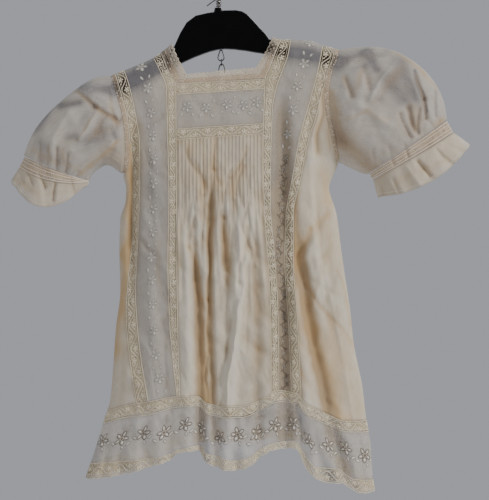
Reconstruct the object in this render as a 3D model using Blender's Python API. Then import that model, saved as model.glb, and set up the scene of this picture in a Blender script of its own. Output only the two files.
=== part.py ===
"""Embroidered baby dress with short puffed sleeves, hanging on a small plastic hanger.

Every length in the tables is in millimetres.  "across" runs along X, "down" is the
distance below the rail that the hook rests on, and the front of the dress faces -Y.
The origin is the inside top of the hook.  Left and right are those of the viewer.
"""
import math

import bmesh
import bpy

MM = 0.001
WALL = 1.2
GAP = 0.15

COLLECTION = "embroidered_dress"

# Outline of the body of the dress
# down, across: left edge of the body, armhole seam first and side seam below it
SIDE_LEFT = [
    (118, -124), (131, -117.5), (146, -112.5), (163, -107.5), (179, -103.5), (196, -101.5),
    (212, -101), (229, -102.5), (241, -104.5), (254, -101.5), (267, -102), (289, -108),
    (322, -109), (366, -108), (410, -113), (454, -116), (487, -119), (509, -126),
    (542, -136), (573, -146), (600, -150),
]
# down, across: right edge of the body
SIDE_RIGHT = [
    (90, 137), (102, 132), (113, 129.5), (131, 122.8), (147, 120), (162, 120), (180, 122.5),
    (196, 126.5), (212, 130), (222, 132), (230, 130.5), (245, 124), (254, 121.5), (262, 123),
    (273, 127), (284, 130), (322, 135), (350, 139), (386, 144.5), (427, 149), (449, 153.5),
    (471, 158), (504, 162), (542, 168), (564, 169), (600, 174),
]
# across, down: the fold of the shoulders over the hanger
CREST = [
    (-135, 142), (-116, 130), (-92, 120), (-72, 111), (-58, 101.5), (-50, 95), (-30, 90), (4, 86),
    (40, 87), (58, 88), (69, 91), (90, 91), (101, 92), (114, 97), (131, 102), (146, 107),
]
# across, down: four lines round the hem of the front
INSERTION_TOP = [
    (-148, 500), (-119, 497), (-103, 492), (-75, 486), (-42, 480), (-22, 480), (-13, 487),
    (4, 490), (24, 490), (46, 484), (62, 474), (85, 477), (94, 487), (112, 497),
    (139, 508), (161, 509), (180, 510),
]
INSERTION_LOW = [
    (-148, 515), (-126, 512), (-103, 505), (-75, 501), (-42, 492), (-22, 491), (-13, 499),
    (4, 503), (24, 503), (46, 496), (62, 487), (85, 489), (94, 499), (112, 509),
    (139, 520), (164, 522), (180, 523),
]
FLOUNCE_LOW = [
    (-152, 558), (-141, 556), (-103, 551), (-75, 547), (-53, 542), (-40, 536), (-21, 533),
    (-13, 541), (2, 545), (18, 549), (35, 544), (48, 535), (62, 530), (84, 529),
    (94, 544), (106, 556), (128, 559), (147, 571), (170, 574), (189, 575),
]
HEM_LOW = [
    (-155, 573), (-146, 573), (-100, 565), (-75, 557), (-53, 550), (-42, 541), (-21, 539),
    (-13, 552), (18, 560), (35, 555), (48, 544), (62, 538), (84, 537), (94, 557),
    (103, 567), (117, 574), (134, 576), (147, 584), (158, 588), (173, 587), (189, 586),
]
# across, down: the same four lines on the back, plain
BACK_LINES = [
    [(-148, 500), (-119, 497), (-60, 484), (-20, 479), (20, 479), (70, 477), (110, 488),
     (161, 509), (180, 510)],
    [(-148, 515), (-126, 512), (-60, 497), (-20, 491), (20, 491), (70, 489), (110, 500),
     (164, 522), (180, 523)],
    [(-152, 558), (-138, 556), (-100, 547), (-60, 534), (-20, 524), (20, 524), (60, 521), (85, 521),
     (110, 534), (147, 562), (169, 574), (189, 575)],
    [(-155, 573), (-146, 573), (-100, 563), (-60, 548), (-20, 537), (20, 537), (60, 534), (85, 534),
     (110, 548), (147, 575), (173, 586), (189, 586)],
]
FRONT_LINES = [INSERTION_TOP, INSERTION_LOW, FLOUNCE_LOW, HEM_LOW]

# Seam lines that run down the front
# down, across
OUTER_LACE_LEFT = [
    (205, -95.6), (245, -94), (311, -95), (355, -99), (388, -101), (421, -99), (465, -93),
    (500, -88), (600, -88),
]
BAND_LEFT_OUTER = [
    (118, -108), (127, -102.5), (146, -96), (179, -89), (207, -85.5), (267, -86), (322, -88),
    (366, -90), (399, -88), (443, -83), (500, -74), (600, -72),
]
BAND_LEFT_INNER = [
    (104, -76), (111, -72), (127, -64), (146, -57), (201, -55.5), (267, -54), (333, -55),
    (399, -53), (443, -49), (500, -43), (600, -40),
]
INNER_LACE_LEFT = [(95, -67), (107, -62), (127, -54), (141, -46), (225, -45.3), (322, -44.5),
                   (421, -43), (500, -40), (600, -38)]
INNER_LACE_RIGHT = [(88, 70), (94, 67), (111, 60), (123, 55.5), (136, 50.4), (225, 48.2),
                    (289, 50.5), (355, 55), (421, 57), (600, 57)]
BAND_RIGHT_INNER = [
    (85, 83), (92, 80), (111, 76), (130, 69), (146, 63.5), (168, 59.5), (223, 57.5), (273, 57),
    (322, 61), (388, 65), (477, 66), (600, 66),
]
BAND_RIGHT_OUTER = [
    (90, 118), (98, 114), (113, 111), (135, 106), (157, 100), (201, 88), (245, 80), (284, 73.5),
    (333, 72), (399, 76), (483, 79), (600, 80),
]
OUTER_LACE_RIGHT = [
    (145.5, 114.4), (180, 106), (201, 99), (245, 90), (284, 82), (333, 82), (399, 86), (487, 90),
    (600, 92),
]
CENTRE_BACK = [(80, 2), (600, 6)]

# Rows shared by the panels: share of the way from the shoulder to the hem lace
ROW_SHARE = [
    0.0, 0.0092, 0.0356, 0.076, 0.121, 0.178, 0.228, 0.268, 0.296, 0.316,
    0.35, 0.395, 0.44, 0.48, 0.53, 0.59, 0.65, 0.71, 0.77, 0.83, 0.89, 0.945, 1.0,
]
CORNER_ROW = 4
UNDERARM_ROW = 9
SHOULDER_SEAM_ROW = 2
TUCK_END_ROW = 13
UNDERARM_SHARE = 0.304
ARMHOLE_DEPTH = 18.0
BEADING = 4.2
ROLL = 14.0
FOLD_FADE = 45.0

# share, depth of the front, depth of the back
FULLNESS = [
    (0.0, 9, 9), (0.1, 13, 12), (0.2, 17, 14), (0.3, 20, 16), (0.5, 24, 18), (0.8, 29, 21),
    (1.0, 32, 23), (1.25, 35, 25),
]
# the largest folds: three points (across, down), half width, rise (+ ridge, - trough)
FRONT_FOLDS = [
    (-93, 175, -93, 280, -95, 385, 5.5, -8.0),
    (-78, 330, -70, 430, -62, 640, 9.0, 3.5),
    (-28, 300, -21, 388, -18, 640, 5.0, -6.0),
    (-34, 290, -33, 400, -34, 640, 6.5, 3.0),
    (-6, 232, -9, 330, 2, 640, 5.0, -8.5),
    (4, 268, 7, 322, 11, 380, 4.0, -4.5),
    (30, 265, 22, 350, 4, 640, 6.0, 4.5),
    (41, 300, 42, 400, 44, 640, 6.0, -3.5),
    (69, 150, 71, 300, 74, 640, 8.0, -10.0),
    (86, 300, 97, 390, 149, 620, 7.0, -8.0),
    (84, 330, 88, 410, 112, 640, 7.0, 3.5),
    (118, 290, 124, 380, 134, 470, 6.0, -2.5),
]
BACK_FOLDS = [
    (-70, 260, -74, 400, -86, 640, 10.0, 4.0),
    (-34, 300, -38, 430, -44, 640, 9.0, -4.0),
    (46, 300, 50, 430, 56, 640, 9.0, 4.0),
    (86, 260, 96, 400, 110, 640, 9.0, -4.0),
]

# Straight seams across the yoke: down at the left end, down at the right end
YOKE_LINES = {"upper": (141.2, 135.8), "band_top": (153.5, 147.0), "band_low": (190.5, 184.5),
              "lower": (203.0, 196.5)}
TUCKS = 24
TUCK_RISE = 0.9

# Neck trims: across and down of the three edges at each row of the straps
# across_mid, down_mid, across_edge, down_edge
NECK_LEFT = [(-57.6, 101.3, -50.0, 95.2), (-56.0, 105.0, -48.6, 99.5), (-52.0, 114.0, -45.4, 108.0),
             (-46.4, 126.0, -40.6, 118.5), (-40.6, 136.2, -34.6, 130.0)]
NECK_RIGHT = [(64.4, 90.2, 58.0, 88.2), (63.4, 93.4, 57.2, 92.4), (59.6, 102.6, 53.0, 102.0),
              (52.4, 116.8, 46.8, 113.0), (45.4, 130.2, 41.0, 122.6)]
NECK_STATIONS = 8

# Sleeves: each row runs from its top point to its low point round a hollow
# across_top, down_top, across_low, down_low, half depth, bow inwards, gather rise, droop
SLEEVE_LEFT = [
    (-124, 131, -107, 238, 23, 8.5, 0.5, 0),
    (-134, 133, -112, 234, 28, 7, 1.0, 0),
    (-145, 138, -118, 230, 32, 5, 0.6, 0),
    (-158, 147, -124, 229, 35, 3, 0.3, 0),
    (-174, 160, -130, 232, 37, 1, 0.2, 0),
    (-189, 175, -136, 236, 37, 0, 0.4, 0),
    (-201, 191, -140, 240, 35, -1, 0.9, 0),
    (-208, 206, -142, 243, 31, -1, 1.5, 1),
    (-212.5, 219, -143.6, 245.5, 26.5, -1, 1.7, 2),
]
SLEEVE_RIGHT = [
    (140, 101, 134, 227, 23, -8, 0.5, 0),
    (151, 100, 136, 227, 28, -7, 1.0, 0),
    (168, 99, 139, 229, 33, -5, 0.6, 0),
    (189, 102, 145, 232, 36, -3, 0.3, 0),
    (208, 111, 151, 235, 38, -1, 0.2, 0),
    (226, 125, 156, 237, 38, 0, 0.4, 0),
    (239.5, 143, 160, 238, 36, 2, 0.9, 0),
    (247, 162, 163, 238.5, 32, 2, 1.5, 0),
    (250, 179.5, 165.5, 237.5, 27, 1, 1.7, 0),
]
# the lace round the cuff, then the frill below it
CUFF_LEFT = [(-213, 220, -143.6, 246.1, 26.2, -1, 0.0, 2), (-218.5, 231.5, -143.4, 248, 24.6, -1, 0.8, 8)]
FRILL_LEFT = [(-218.8, 232.1, -143.4, 248.5, 24.8, -1, 0.8, 8), (-222.5, 239, -144, 249.4, 25.6, -2, 1.8, 18),
              (-226, 245.5, -145.2, 250.4, 26.6, -3, 2.8, 28)]
CUFF_RIGHT = [(250.4, 180, 165.8, 238, 26.6, 1, 0.0, 0), (257.6, 193, 170.4, 244, 25.6, -2, 0.8, 3)]
FRILL_RIGHT = [(258, 193.6, 170.7, 244.6, 25.8, -2, 0.8, 3), (266.5, 200, 174, 254, 26.6, 1, 1.8, 8),
               (275, 207, 177.6, 263.5, 27.6, 4, 2.8, 13)]
# creases of the sleeves: across and down of both ends, half width, rise
SLEEVE_FOLDS = [
    (-153.5, 147, -112, 182, 5.5, -4.5),
    (-192, 182, -187, 212, 5.0, -2.5),
    (-168, 186, -173, 226, 6.0, 2.5),
    (216, 133, 225, 177, 5.5, -4.5),
    (212, 158, 214, 192, 5.0, -3.5),
    (134, 182, 164, 226, 9.0, -6.0),
    (150, 118, 184, 136, 6.0, 2.5),
]
SLEEVE_COLUMNS = 48
GATHERS = 16
FRILL_WAVES = 7

# Back: shares across each half from its side seam to the line of the neck trim
BACK_PARTS = [0.0, 0.06, 0.2, 0.44, 0.72, 1.0]

# Back opening
PLACKET_WIDTH = 13.0
PLACKET_ROWS = (4, 14)
BUTTON_ROWS = (0.135, 0.245, 0.36)
BUTTON_RADIUS = 4.5
BUTTON_HEIGHT = 2.0

# Hanger
# across, down: outline of the plate and its two arms, clockwise from the left tip
HANGER_OUTLINE = [
    (-118, 137), (-92, 123.6), (-72, 114.4), (-57, 104.4), (-48.6, 98.8), (-42, 84), (-35, 72.5),
    (-25, 65), (-12, 62), (-5, 61), (-4, 56.3), (3.4, 56.3), (4.4, 59.3), (19, 59), (26, 60.3),
    (32, 64), (37, 69), (47, 80), (52, 85), (56.4, 91.2), (62, 92.8), (70, 94.5), (90, 94.6),
    (104, 97.6), (122, 103.8), (126, 108), (125, 115), (118, 117.5), (90, 112), (68, 109), (40, 105),
    (29, 103), (18, 101.7), (7, 101.2), (-1, 102), (-9, 104), (-18, 107), (-27, 110.5),
    (-41, 117), (-60, 126), (-84, 138), (-106, 150), (-113, 150), (-118, 144),
]
HANGER_HALF = 3.0
HANGER_ROUND = 1.6
HOOK_RADIUS = 17.0
HOOK_WIRE = 1.2
RAIL_TO_SHANK = 56.0


def clear_scene():
    for thing in list(bpy.data.objects):
        bpy.data.objects.remove(thing, do_unlink=True)


def along(table, at, column=1):
    """Smooth reading of a table whose first column rises."""
    if at <= table[0][0]:
        return table[0][column]
    if at >= table[-1][0]:
        return table[-1][column]
    place = 0
    while at > table[place + 1][0]:
        place += 1
    x0, y0 = table[place][0], table[place][column]
    x1, y1 = table[place + 1][0], table[place + 1][column]
    step = x1 - x0
    slope = (y1 - y0) / step
    before = slope
    if place > 0:
        before = (y0 - table[place - 1][column]) / (x0 - table[place - 1][0])
    after = slope
    if place + 2 < len(table):
        after = (table[place + 2][column] - y1) / (table[place + 2][0] - x1)
    start = 0.0 if before * slope <= 0 else 2 * before * slope / (before + slope)
    end = 0.0 if after * slope <= 0 else 2 * after * slope / (after + slope)
    part = (at - x0) / step
    rest = 1 - part
    return (y0 * rest * rest * (1 + 2 * part) + y1 * part * part * (3 - 2 * part)
            + step * part * rest * (start * rest - end * part))


def hem_line(face, which, across):
    lines = FRONT_LINES if face == "front" else BACK_LINES
    return along(lines[which], across)


def armhole_depth(share):
    if share >= UNDERARM_SHARE:
        return 0.0
    return ARMHOLE_DEPTH * math.sqrt(max(0.0, 1 - (1 - 2 * share / UNDERARM_SHARE) ** 2))


def fold_rise(face, across, down):
    total = 0.0
    for row in (FRONT_FOLDS if face == "front" else BACK_FOLDS):
        top_across, top_down, mid_across, mid_down, low_across, low_down, half, rise = row
        path = [(top_down, top_across), (mid_down, mid_across), (low_down, low_across)]
        strength = min(1.0, max(0.0, (down - top_down) / FOLD_FADE))
        strength *= min(1.0, max(0.0, (low_down - down) / FOLD_FADE))
        total += rise * strength * math.exp(-((across - along(path, down)) / half) ** 2)
    return total


def cloth_at(face, across, down, inset=0.0, raised=0.0, on_crest=False):
    """Point on the outside of the dress (inset 0) or on the inside (inset WALL)."""
    top = along(CREST, across)
    low = hem_line(face, 0, across)
    share = (down - top) / (low - top) if down < low else 1 + (down - low) / 400.0
    down = max(down, top + inset)
    left = along(SIDE_LEFT, down)
    right = along(SIDE_RIGHT, down)
    across = min(max(across, left + inset), right - inset)
    place = min(1.0, abs(across - (left + right) / 2) / ((right - left) / 2 - inset))
    full = along(FULLNESS, share, 1 if face == "front" else 2) - inset
    turn = min(1.0, (down - top - inset) / (ROLL - inset))
    full *= math.sqrt(max(0.0, 1 - (1 - turn) ** 2))
    edge = max(0.0, armhole_depth(share) - inset)
    side = place ** 2.4
    depth = math.sqrt(edge * edge * side + full * full * (1 - side))
    depth += (fold_rise(face, across, down) + raised) * (1 - place ** 8)
    if on_crest:
        return (across, 0.0, -down)
    depth = max(depth, 0.0) + GAP
    return (across, -depth if face == "front" else depth, -down)


def level(face, across, share):
    top = along(CREST, across)
    return top + share * (hem_line(face, 0, across) - top)


def spot(face, first, last, part, share):
    """Across and down of a point between two seam lines, a share of the way down."""
    down = 300.0
    across = 0.0
    for _ in range(8):
        across = (1 - part) * first(down) + part * last(down)
        down = level(face, across, share)
    return across, down


def seam(table, shift=0.0):
    return lambda down: along(table, down) + shift


def left_edge(down):
    return along(SIDE_LEFT, down)


def right_edge(down):
    return along(SIDE_RIGHT, down)


def outer_lace_left(down):
    if down < 205:
        return along(SIDE_LEFT, down) + BEADING + GAP
    return along(OUTER_LACE_LEFT, down)


def outer_lace_right(down):
    if down < 145.5:
        return along(SIDE_RIGHT, down) - BEADING - GAP
    return along(OUTER_LACE_RIGHT, down)


class Sheet:
    """A wall of cloth: each point is held as its outside and inside place."""

    def __init__(self):
        self.numbers = {}
        self.points = []
        self.faces = []

    def point(self, outside, inside):
        key = tuple(round(value, 3) for value in outside)
        if key not in self.numbers:
            self.numbers[key] = len(self.points)
            self.points.append((outside, inside))
        return self.numbers[key]

    def grid(self, rows):
        numbered = [[self.point(*pair) for pair in row] for row in rows]
        for upper, lower in zip(numbered, numbered[1:]):
            for place in range(len(upper) - 1):
                a, b = upper[place], upper[place + 1]
                c, d = lower[place + 1], lower[place]
                self.faces.append((a, b, c))
                self.faces.append((a, c, d))

    def build(self, name, material):
        total = len(self.points)
        verts = [pair[0] for pair in self.points] + [pair[1] for pair in self.points]
        edges = {}
        for a, b, c in self.faces:
            for start, end in ((a, b), (b, c), (c, a)):
                edges[(start, end)] = True
        faces = list(self.faces)
        faces += [(c + total, b + total, a + total) for a, b, c in self.faces]
        for start, end in edges:
            if (end, start) not in edges:
                faces.append((end, start, start + total))
                faces.append((end, start + total, end + total))
        return mesh_object(name, verts, faces, material)


def mesh_object(name, verts, faces, material, smooth=True):
    mesh = bpy.data.meshes.new(name)
    mesh.from_pydata([tuple(value * MM for value in vert) for vert in verts], [], faces)
    shape = bmesh.new()
    shape.from_mesh(mesh)
    bmesh.ops.dissolve_degenerate(shape, dist=1e-7, edges=shape.edges)
    bmesh.ops.triangulate(shape, faces=[face for face in shape.faces if len(face.verts) > 3])
    bmesh.ops.recalc_face_normals(shape, faces=shape.faces)
    for face in shape.faces:
        face.smooth = smooth
    shape.to_mesh(mesh)
    shape.free()
    thing = bpy.data.objects.new(name, mesh)
    return finish(thing, material)


def finish(thing, material):
    thing.data.materials.clear()
    thing.data.materials.append(material)
    bpy.data.collections[COLLECTION].objects.link(thing)
    return thing


def make_material(name, colour, roughness, metallic=0.0):
    material = bpy.data.materials.new(name)
    material.use_nodes = True
    shader = material.node_tree.nodes["Principled BSDF"]
    shader.inputs["Base Color"].default_value = (*colour, 1.0)
    shader.inputs["Roughness"].default_value = roughness
    shader.inputs["Metallic"].default_value = metallic
    material.diffuse_color = (*colour, 1.0)
    return material


def cream(name):
    return make_material(name, (0.80, 0.70, 0.54), 0.85)


def cool_white(name):
    return make_material(name, (0.72, 0.69, 0.63), 0.85)


def lace_colour(name):
    return make_material(name, (0.76, 0.62, 0.42), 0.9)


def both(face, across, down, on_crest=False, raised=0.0):
    outside = cloth_at(face, across, down, 0.0, raised, on_crest)
    inside = cloth_at(face, across, down, WALL, raised, on_crest)
    return outside, inside


def panel_row(face, first, last, parts, share, drop=0.0, on_crest=False):
    """One row of a panel, held GAP clear of the seam lines at both of its ends."""
    row = []
    for part in parts:
        across, down = spot(face, first, last, part, share)
        down += drop
        if part == 0.0 and first is not left_edge:
            across += GAP
        if part == 1.0 and last is not right_edge:
            across -= GAP
        row.append(both(face, across, down, on_crest))
    return row


def even(count):
    return [step / count for step in range(count + 1)]


def crowded(count):
    """Shares that crowd towards the start, for the curve at a side seam."""
    return [(step / count) ** 1.6 for step in range(count + 1)]


def strip_over_shoulder(name, first, last, columns, material):
    """A strip that runs from the hem lace up the front and over the shoulder."""
    parts = even(columns)
    rows = [panel_row("back", first, last, parts, ROW_SHARE[SHOULDER_SEAM_ROW], -GAP)]
    rows.append(panel_row("back", first, last, parts, ROW_SHARE[1]))
    rows.append(panel_row("front", first, last, parts, 0.0, 0.0, True))
    for share in ROW_SHARE[1:-1]:
        rows.append(panel_row("front", first, last, parts, share))
    rows.append(panel_row("front", first, last, parts, 1.0, -GAP))
    sheet = Sheet()
    sheet.grid(rows)
    return sheet.build(name, material)


def beading_edge(side, row):
    """Inner edge of the trim round the armhole, at one of the shared rows."""
    width = {8: 3.4, 9: 0.0}.get(row, BEADING)
    if side == "left":
        return lambda down: along(SIDE_LEFT, down) + width
    return lambda down: along(SIDE_RIGHT, down) - width


def side_front(name, side, top_row, columns, material):
    rows = []
    parts = crowded(columns)
    for number in range(top_row, len(ROW_SHARE)):
        share = ROW_SHARE[number]
        drop = -GAP if number == len(ROW_SHARE) - 1 else 0.0
        row = []
        if side == "left":
            edge = left_edge if number >= UNDERARM_ROW else beading_edge("left", number)
            lace = seam(OUTER_LACE_LEFT)
            for part in parts:
                across, down = spot("front", edge, lace, part, share)
                across += GAP * (part == 0.0 and number < UNDERARM_ROW) - GAP * (part == 1.0)
                row.append(both("front", across, down + drop))
        else:
            edge = right_edge if number >= UNDERARM_ROW else beading_edge("right", number)
            lace = seam(OUTER_LACE_RIGHT)
            for part in parts[::-1]:
                across, down = spot("front", edge, lace, part, share)
                across += GAP * (part == 1.0) - GAP * (part == 0.0 and number < UNDERARM_ROW)
                row.append(both("front", across, down + drop))
        rows.append(row)
    sheet = Sheet()
    sheet.grid(rows)
    return sheet.build(name, material)


def armhole_beading(name, side, material):
    """The narrow trim that follows the armhole all round."""
    edge_line = left_edge if side == "left" else right_edge
    inward = 1 if side == "left" else -1
    seam_edge = []
    inner_edge = []
    order = [("back", number) for number in range(UNDERARM_ROW, 0, -1)]
    order += [("front", number) for number in range(0, UNDERARM_ROW)]
    for face, number in order:
        share = min(ROW_SHARE[number], UNDERARM_SHARE)
        crest = number == 0
        under = number == UNDERARM_ROW
        across, down = spot(face, edge_line, edge_line, 0.0, share)
        outside, inside = both(face, across, down, crest)
        if under:
            outside = (across, 0.0, -down)
            inside = (across + inward * WALL, 0.0, -down - WALL)
        seam_edge.append((outside, inside))
        line = beading_edge(side, number)
        across, down = spot(face, line, line, 0.0, ROW_SHARE[number])
        across -= inward * GAP * (1 if number < UNDERARM_ROW - 1 else 5)
        down -= 7 * GAP * under
        outside, inside = both(face, across, down, crest)
        if under:
            outside = (across, 0.0, -down)
            inside = (across + inward * WALL, 0.0, -down)
        inner_edge.append((outside, inside))
    sheet = Sheet()
    sheet.grid([seam_edge + seam_edge[:1], inner_edge + inner_edge[:1]])
    return sheet.build(name, material)


def yoke_line(name, across):
    left_down, right_down = YOKE_LINES[name]
    part = (across - along(INNER_LACE_LEFT, left_down))
    part /= along(INNER_LACE_RIGHT, right_down) - along(INNER_LACE_LEFT, left_down)
    return left_down + part * (right_down - left_down)


def yoke_spot(name, part):
    across, down = 0.0, YOKE_LINES[name][0]
    for _ in range(6):
        across = (1 - part) * along(INNER_LACE_LEFT, down) + part * along(INNER_LACE_RIGHT, down)
        down = yoke_line(name, across)
    across += GAP * (part == 0.0) - GAP * (part == 1.0)
    return across, down


def yoke_piece(name, upper, lower, between, material):
    rows = []
    for step in range(between + 1):
        share = step / between
        row = []
        for part in even(NECK_STATIONS):
            across_top, down_top = yoke_spot(upper, part)
            across_low, down_low = yoke_spot(lower, part)
            down_top += GAP
            down_low -= GAP
            across = across_top + share * (across_low - across_top)
            down = down_top + share * (down_low - down_top)
            row.append(both("front", across, down))
        rows.append(row)
    sheet = Sheet()
    sheet.grid(rows)
    return sheet.build(name, material)


def zip_rows(first, last):
    """Faces between two rows of unlike counts; each row is a list of (number, share)."""
    faces = []
    a = b = 0
    while a < len(first) - 1 or b < len(last) - 1:
        if b == len(last) - 1 or (a < len(first) - 1 and first[a + 1][1] <= last[b + 1][1]):
            faces.append((first[a][0], first[a + 1][0], last[b][0]))
            a += 1
        else:
            faces.append((first[a][0], last[b + 1][0], last[b][0]))
            b += 1
    return faces


def spread(points):
    """Points of a row, each with its share of the way along it."""
    return [(place / (len(points) - 1), point) for place, point in enumerate(points)]


def wall_of_rows(name, outer_rows, inner_rows, material):
    """A wall whose outside and inside may have rows of unlike counts.  Each row is a
    list of shares of the way along it and points."""
    verts = []
    faces = []
    sides = []
    for rows, flip in ((outer_rows, False), (inner_rows, True)):
        numbered = []
        for row in rows:
            line = []
            for share, point in row:
                line.append((len(verts), share))
                verts.append(point)
            numbered.append(line)
        for upper, lower in zip(numbered, numbered[1:]):
            for face in zip_rows(upper, lower):
                faces.append(face[::-1] if flip else face)
        sides.append(numbered)
    outer, inner = sides
    for edge in (0, -1):
        for number in range(len(outer) - 1):
            a, b = outer[number][edge][0], outer[number + 1][edge][0]
            c, d = inner[number + 1][edge][0], inner[number][edge][0]
            faces.append((a, b, c) if edge == 0 else (a, c, b))
            faces.append((a, c, d) if edge == 0 else (a, d, c))
    faces += [face[::-1] for face in zip_rows(outer[0], inner[0])]
    faces += zip_rows(outer[-1], inner[-1])
    return mesh_object(name, verts, faces, material)


def centre_front(name, material):
    """Pintucks from the yoke down, let out below into soft folds."""
    first, last = seam(INNER_LACE_LEFT), seam(INNER_LACE_RIGHT)
    tuck_parts = []
    tuck_raise = []
    for number in range(TUCKS):
        for share, rise in ((0.0, 0.0), (0.5, 0.0), (0.78, 1.0)):
            tuck_parts.append((number + share) / TUCKS)
            tuck_raise.append(rise * TUCK_RISE)
    tuck_parts.append(1.0)
    tuck_raise.append(0.0)
    plain = even(12)
    soft = even(16)

    def place(part, share):
        if share is None:
            across, down = yoke_spot("lower", part)
            return across, down + GAP
        across, down = spot("front", first, last, part, share)
        across += GAP * (part == 0.0) - GAP * (part == 1.0)
        return across, down - GAP * (share == 1.0)

    outer_rows, inner_rows = [], []
    shares = [None] + ROW_SHARE[10:]
    for number, share in enumerate(shares):
        tucked = share is None or share <= ROW_SHARE[TUCK_END_ROW]
        fade = 0.35 if share == ROW_SHARE[TUCK_END_ROW] else 1.0
        parts = tuck_parts if tucked else soft
        row = []
        for place_number, part in enumerate(parts):
            across, down = place(part, share)
            rise = tuck_raise[place_number] * fade if tucked else 0.0
            row.append(cloth_at("front", across, down, 0.0, rise))
        outer_rows.append(spread(row))
        inner_rows.append(spread([cloth_at("front", *place(part, share), WALL)
                                  for part in (plain if tucked else soft)]))
    return wall_of_rows(name, outer_rows, inner_rows, material)


def neck_stations():
    """Stations round the neck from the back opening: face, seam, middle and edge spots."""
    left = []
    right = []
    for number in range(CORNER_ROW + 1):
        share = ROW_SHARE[number]
        line = seam(INNER_LACE_LEFT)
        across, down = spot("front", line, line, 0.0, share)
        left.append(((across + GAP, down), NECK_LEFT[number][:2], NECK_LEFT[number][2:]))
        line = seam(INNER_LACE_RIGHT)
        across, down = spot("front", line, line, 0.0, share)
        right.append(((across - GAP, down), NECK_RIGHT[number][:2], NECK_RIGHT[number][2:]))

    def between(start, end, part):
        spots = []
        for a, b in zip(start, end):
            spots.append((a[0] + part * (b[0] - a[0]), a[1] + part * (b[1] - a[1])))
        return tuple(spots)

    ring = []
    width = right[CORNER_ROW][0][0] - left[CORNER_ROW][0][0]
    back_left = left[CORNER_ROW]
    back_right = right[CORNER_ROW]
    middle = (along(CENTRE_BACK, 140) - left[CORNER_ROW][0][0]) / width
    for part in (middle - GAP / width, middle * 0.67, middle * 0.33):
        ring.append(("back", between(back_left, back_right, part)))
    ring.append(("back", back_left))
    for number in (3, 2, 1):
        ring.append(("back", left[number]))
    for number in range(CORNER_ROW + 1):
        ring.append(("crest" if number == 0 else "front", left[number]))
    for step in range(1, NECK_STATIONS):
        ring.append(("front", between(left[CORNER_ROW], right[CORNER_ROW], step / NECK_STATIONS)))
    for number in range(CORNER_ROW, -1, -1):
        ring.append(("crest" if number == 0 else "front", right[number]))
    for number in (1, 2, 3):
        ring.append(("back", right[number]))
    ring.append(("back", back_right))
    rest = 1 - middle
    for part in (middle + rest * 0.67, middle + rest * 0.34, middle + GAP / width):
        ring.append(("back", between(back_left, back_right, part)))
    return ring


def neck_trim(name, which, material):
    """which 0 is the beading next to the panels, 1 the lace edging inside it."""
    rows = [[], []]
    for face, spots in neck_stations():
        start, end = spots[which], spots[which + 1]
        length = math.dist(start, end)
        clear = GAP / length
        near = (clear if which == 1 else 2 * clear, 1 - clear if which == 0 else 1.0)
        for row, part in zip(rows, near):
            across = start[0] + part * (end[0] - start[0])
            down = start[1] + part * (end[1] - start[1])
            if face == "crest":
                down = along(CREST, across)
            row.append(both("front" if face == "crest" else face, across, down, face == "crest"))
    sheet = Sheet()
    sheet.grid(rows)
    return sheet.build(name, material)


def back_neck_line(across):
    """Down of the straight seam between the back panels and the neck trim."""
    left = spot("front", seam(INNER_LACE_LEFT), seam(INNER_LACE_LEFT), 0.0, ROW_SHARE[CORNER_ROW])
    right = spot("front", seam(INNER_LACE_RIGHT), seam(INNER_LACE_RIGHT), 0.0, ROW_SHARE[CORNER_ROW])
    return left[1] + (across - left[0]) / (right[0] - left[0]) * (right[1] - left[1])


def back_panel(name, side, material):
    """Plain back, with the square of the neck cut out of its top inner corner."""
    sheet = Sheet()
    strap = seam(INNER_LACE_LEFT if side == "left" else INNER_LACE_RIGHT)
    centre = seam(CENTRE_BACK)
    inward = 1 if side == "left" else -1
    last_row = len(ROW_SHARE) - 1

    def edge_of(number):
        if number < UNDERARM_ROW:
            return beading_edge(side, number)
        return left_edge if side == "left" else right_edge

    def block(numbers, parts, outer):
        rows = []
        for number in numbers:
            row = []
            for part in parts:
                first, last = (edge_of(number), strap) if outer else (strap, centre)
                across, down = spot("back", first, last, part, ROW_SHARE[number])
                if outer and part == 0.0 and number < UNDERARM_ROW:
                    across += inward * GAP
                if (outer and part == 1.0) or (not outer and part == 0.0) or part == 1.0:
                    across -= inward * GAP
                if number == CORNER_ROW and not (outer and part < 1.0):
                    down = back_neck_line(across) + 2 * GAP
                if number == SHOULDER_SEAM_ROW:
                    down += 3 * GAP
                if number == last_row:
                    down -= GAP
                row.append(both("back", across, down))
            rows.append(row)
        sheet.grid(rows if side == "left" else [row[::-1] for row in rows])

    block(range(SHOULDER_SEAM_ROW, last_row + 1), BACK_PARTS, True)
    block(range(CORNER_ROW, last_row + 1), even(3), False)
    return sheet.build(name, material)


def front_columns():
    """Every column of the front at the hem lace, as a share from side seam to side seam."""
    spans = [
        (left_edge, seam(OUTER_LACE_LEFT), crowded(3)),
        (seam(OUTER_LACE_LEFT), seam(BAND_LEFT_OUTER), even(2)),
        (seam(BAND_LEFT_OUTER), seam(BAND_LEFT_INNER), even(3)),
        (seam(BAND_LEFT_INNER), seam(INNER_LACE_LEFT), even(1)),
        (seam(INNER_LACE_LEFT), seam(INNER_LACE_RIGHT), even(16)),
        (seam(INNER_LACE_RIGHT), seam(BAND_RIGHT_INNER), even(1)),
        (seam(BAND_RIGHT_INNER), seam(BAND_RIGHT_OUTER), even(3)),
        (seam(BAND_RIGHT_OUTER), seam(OUTER_LACE_RIGHT), even(2)),
        (seam(OUTER_LACE_RIGHT), right_edge, [1 - part for part in crowded(6)][::-1]),
    ]
    return columns_of("front", spans)


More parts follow.
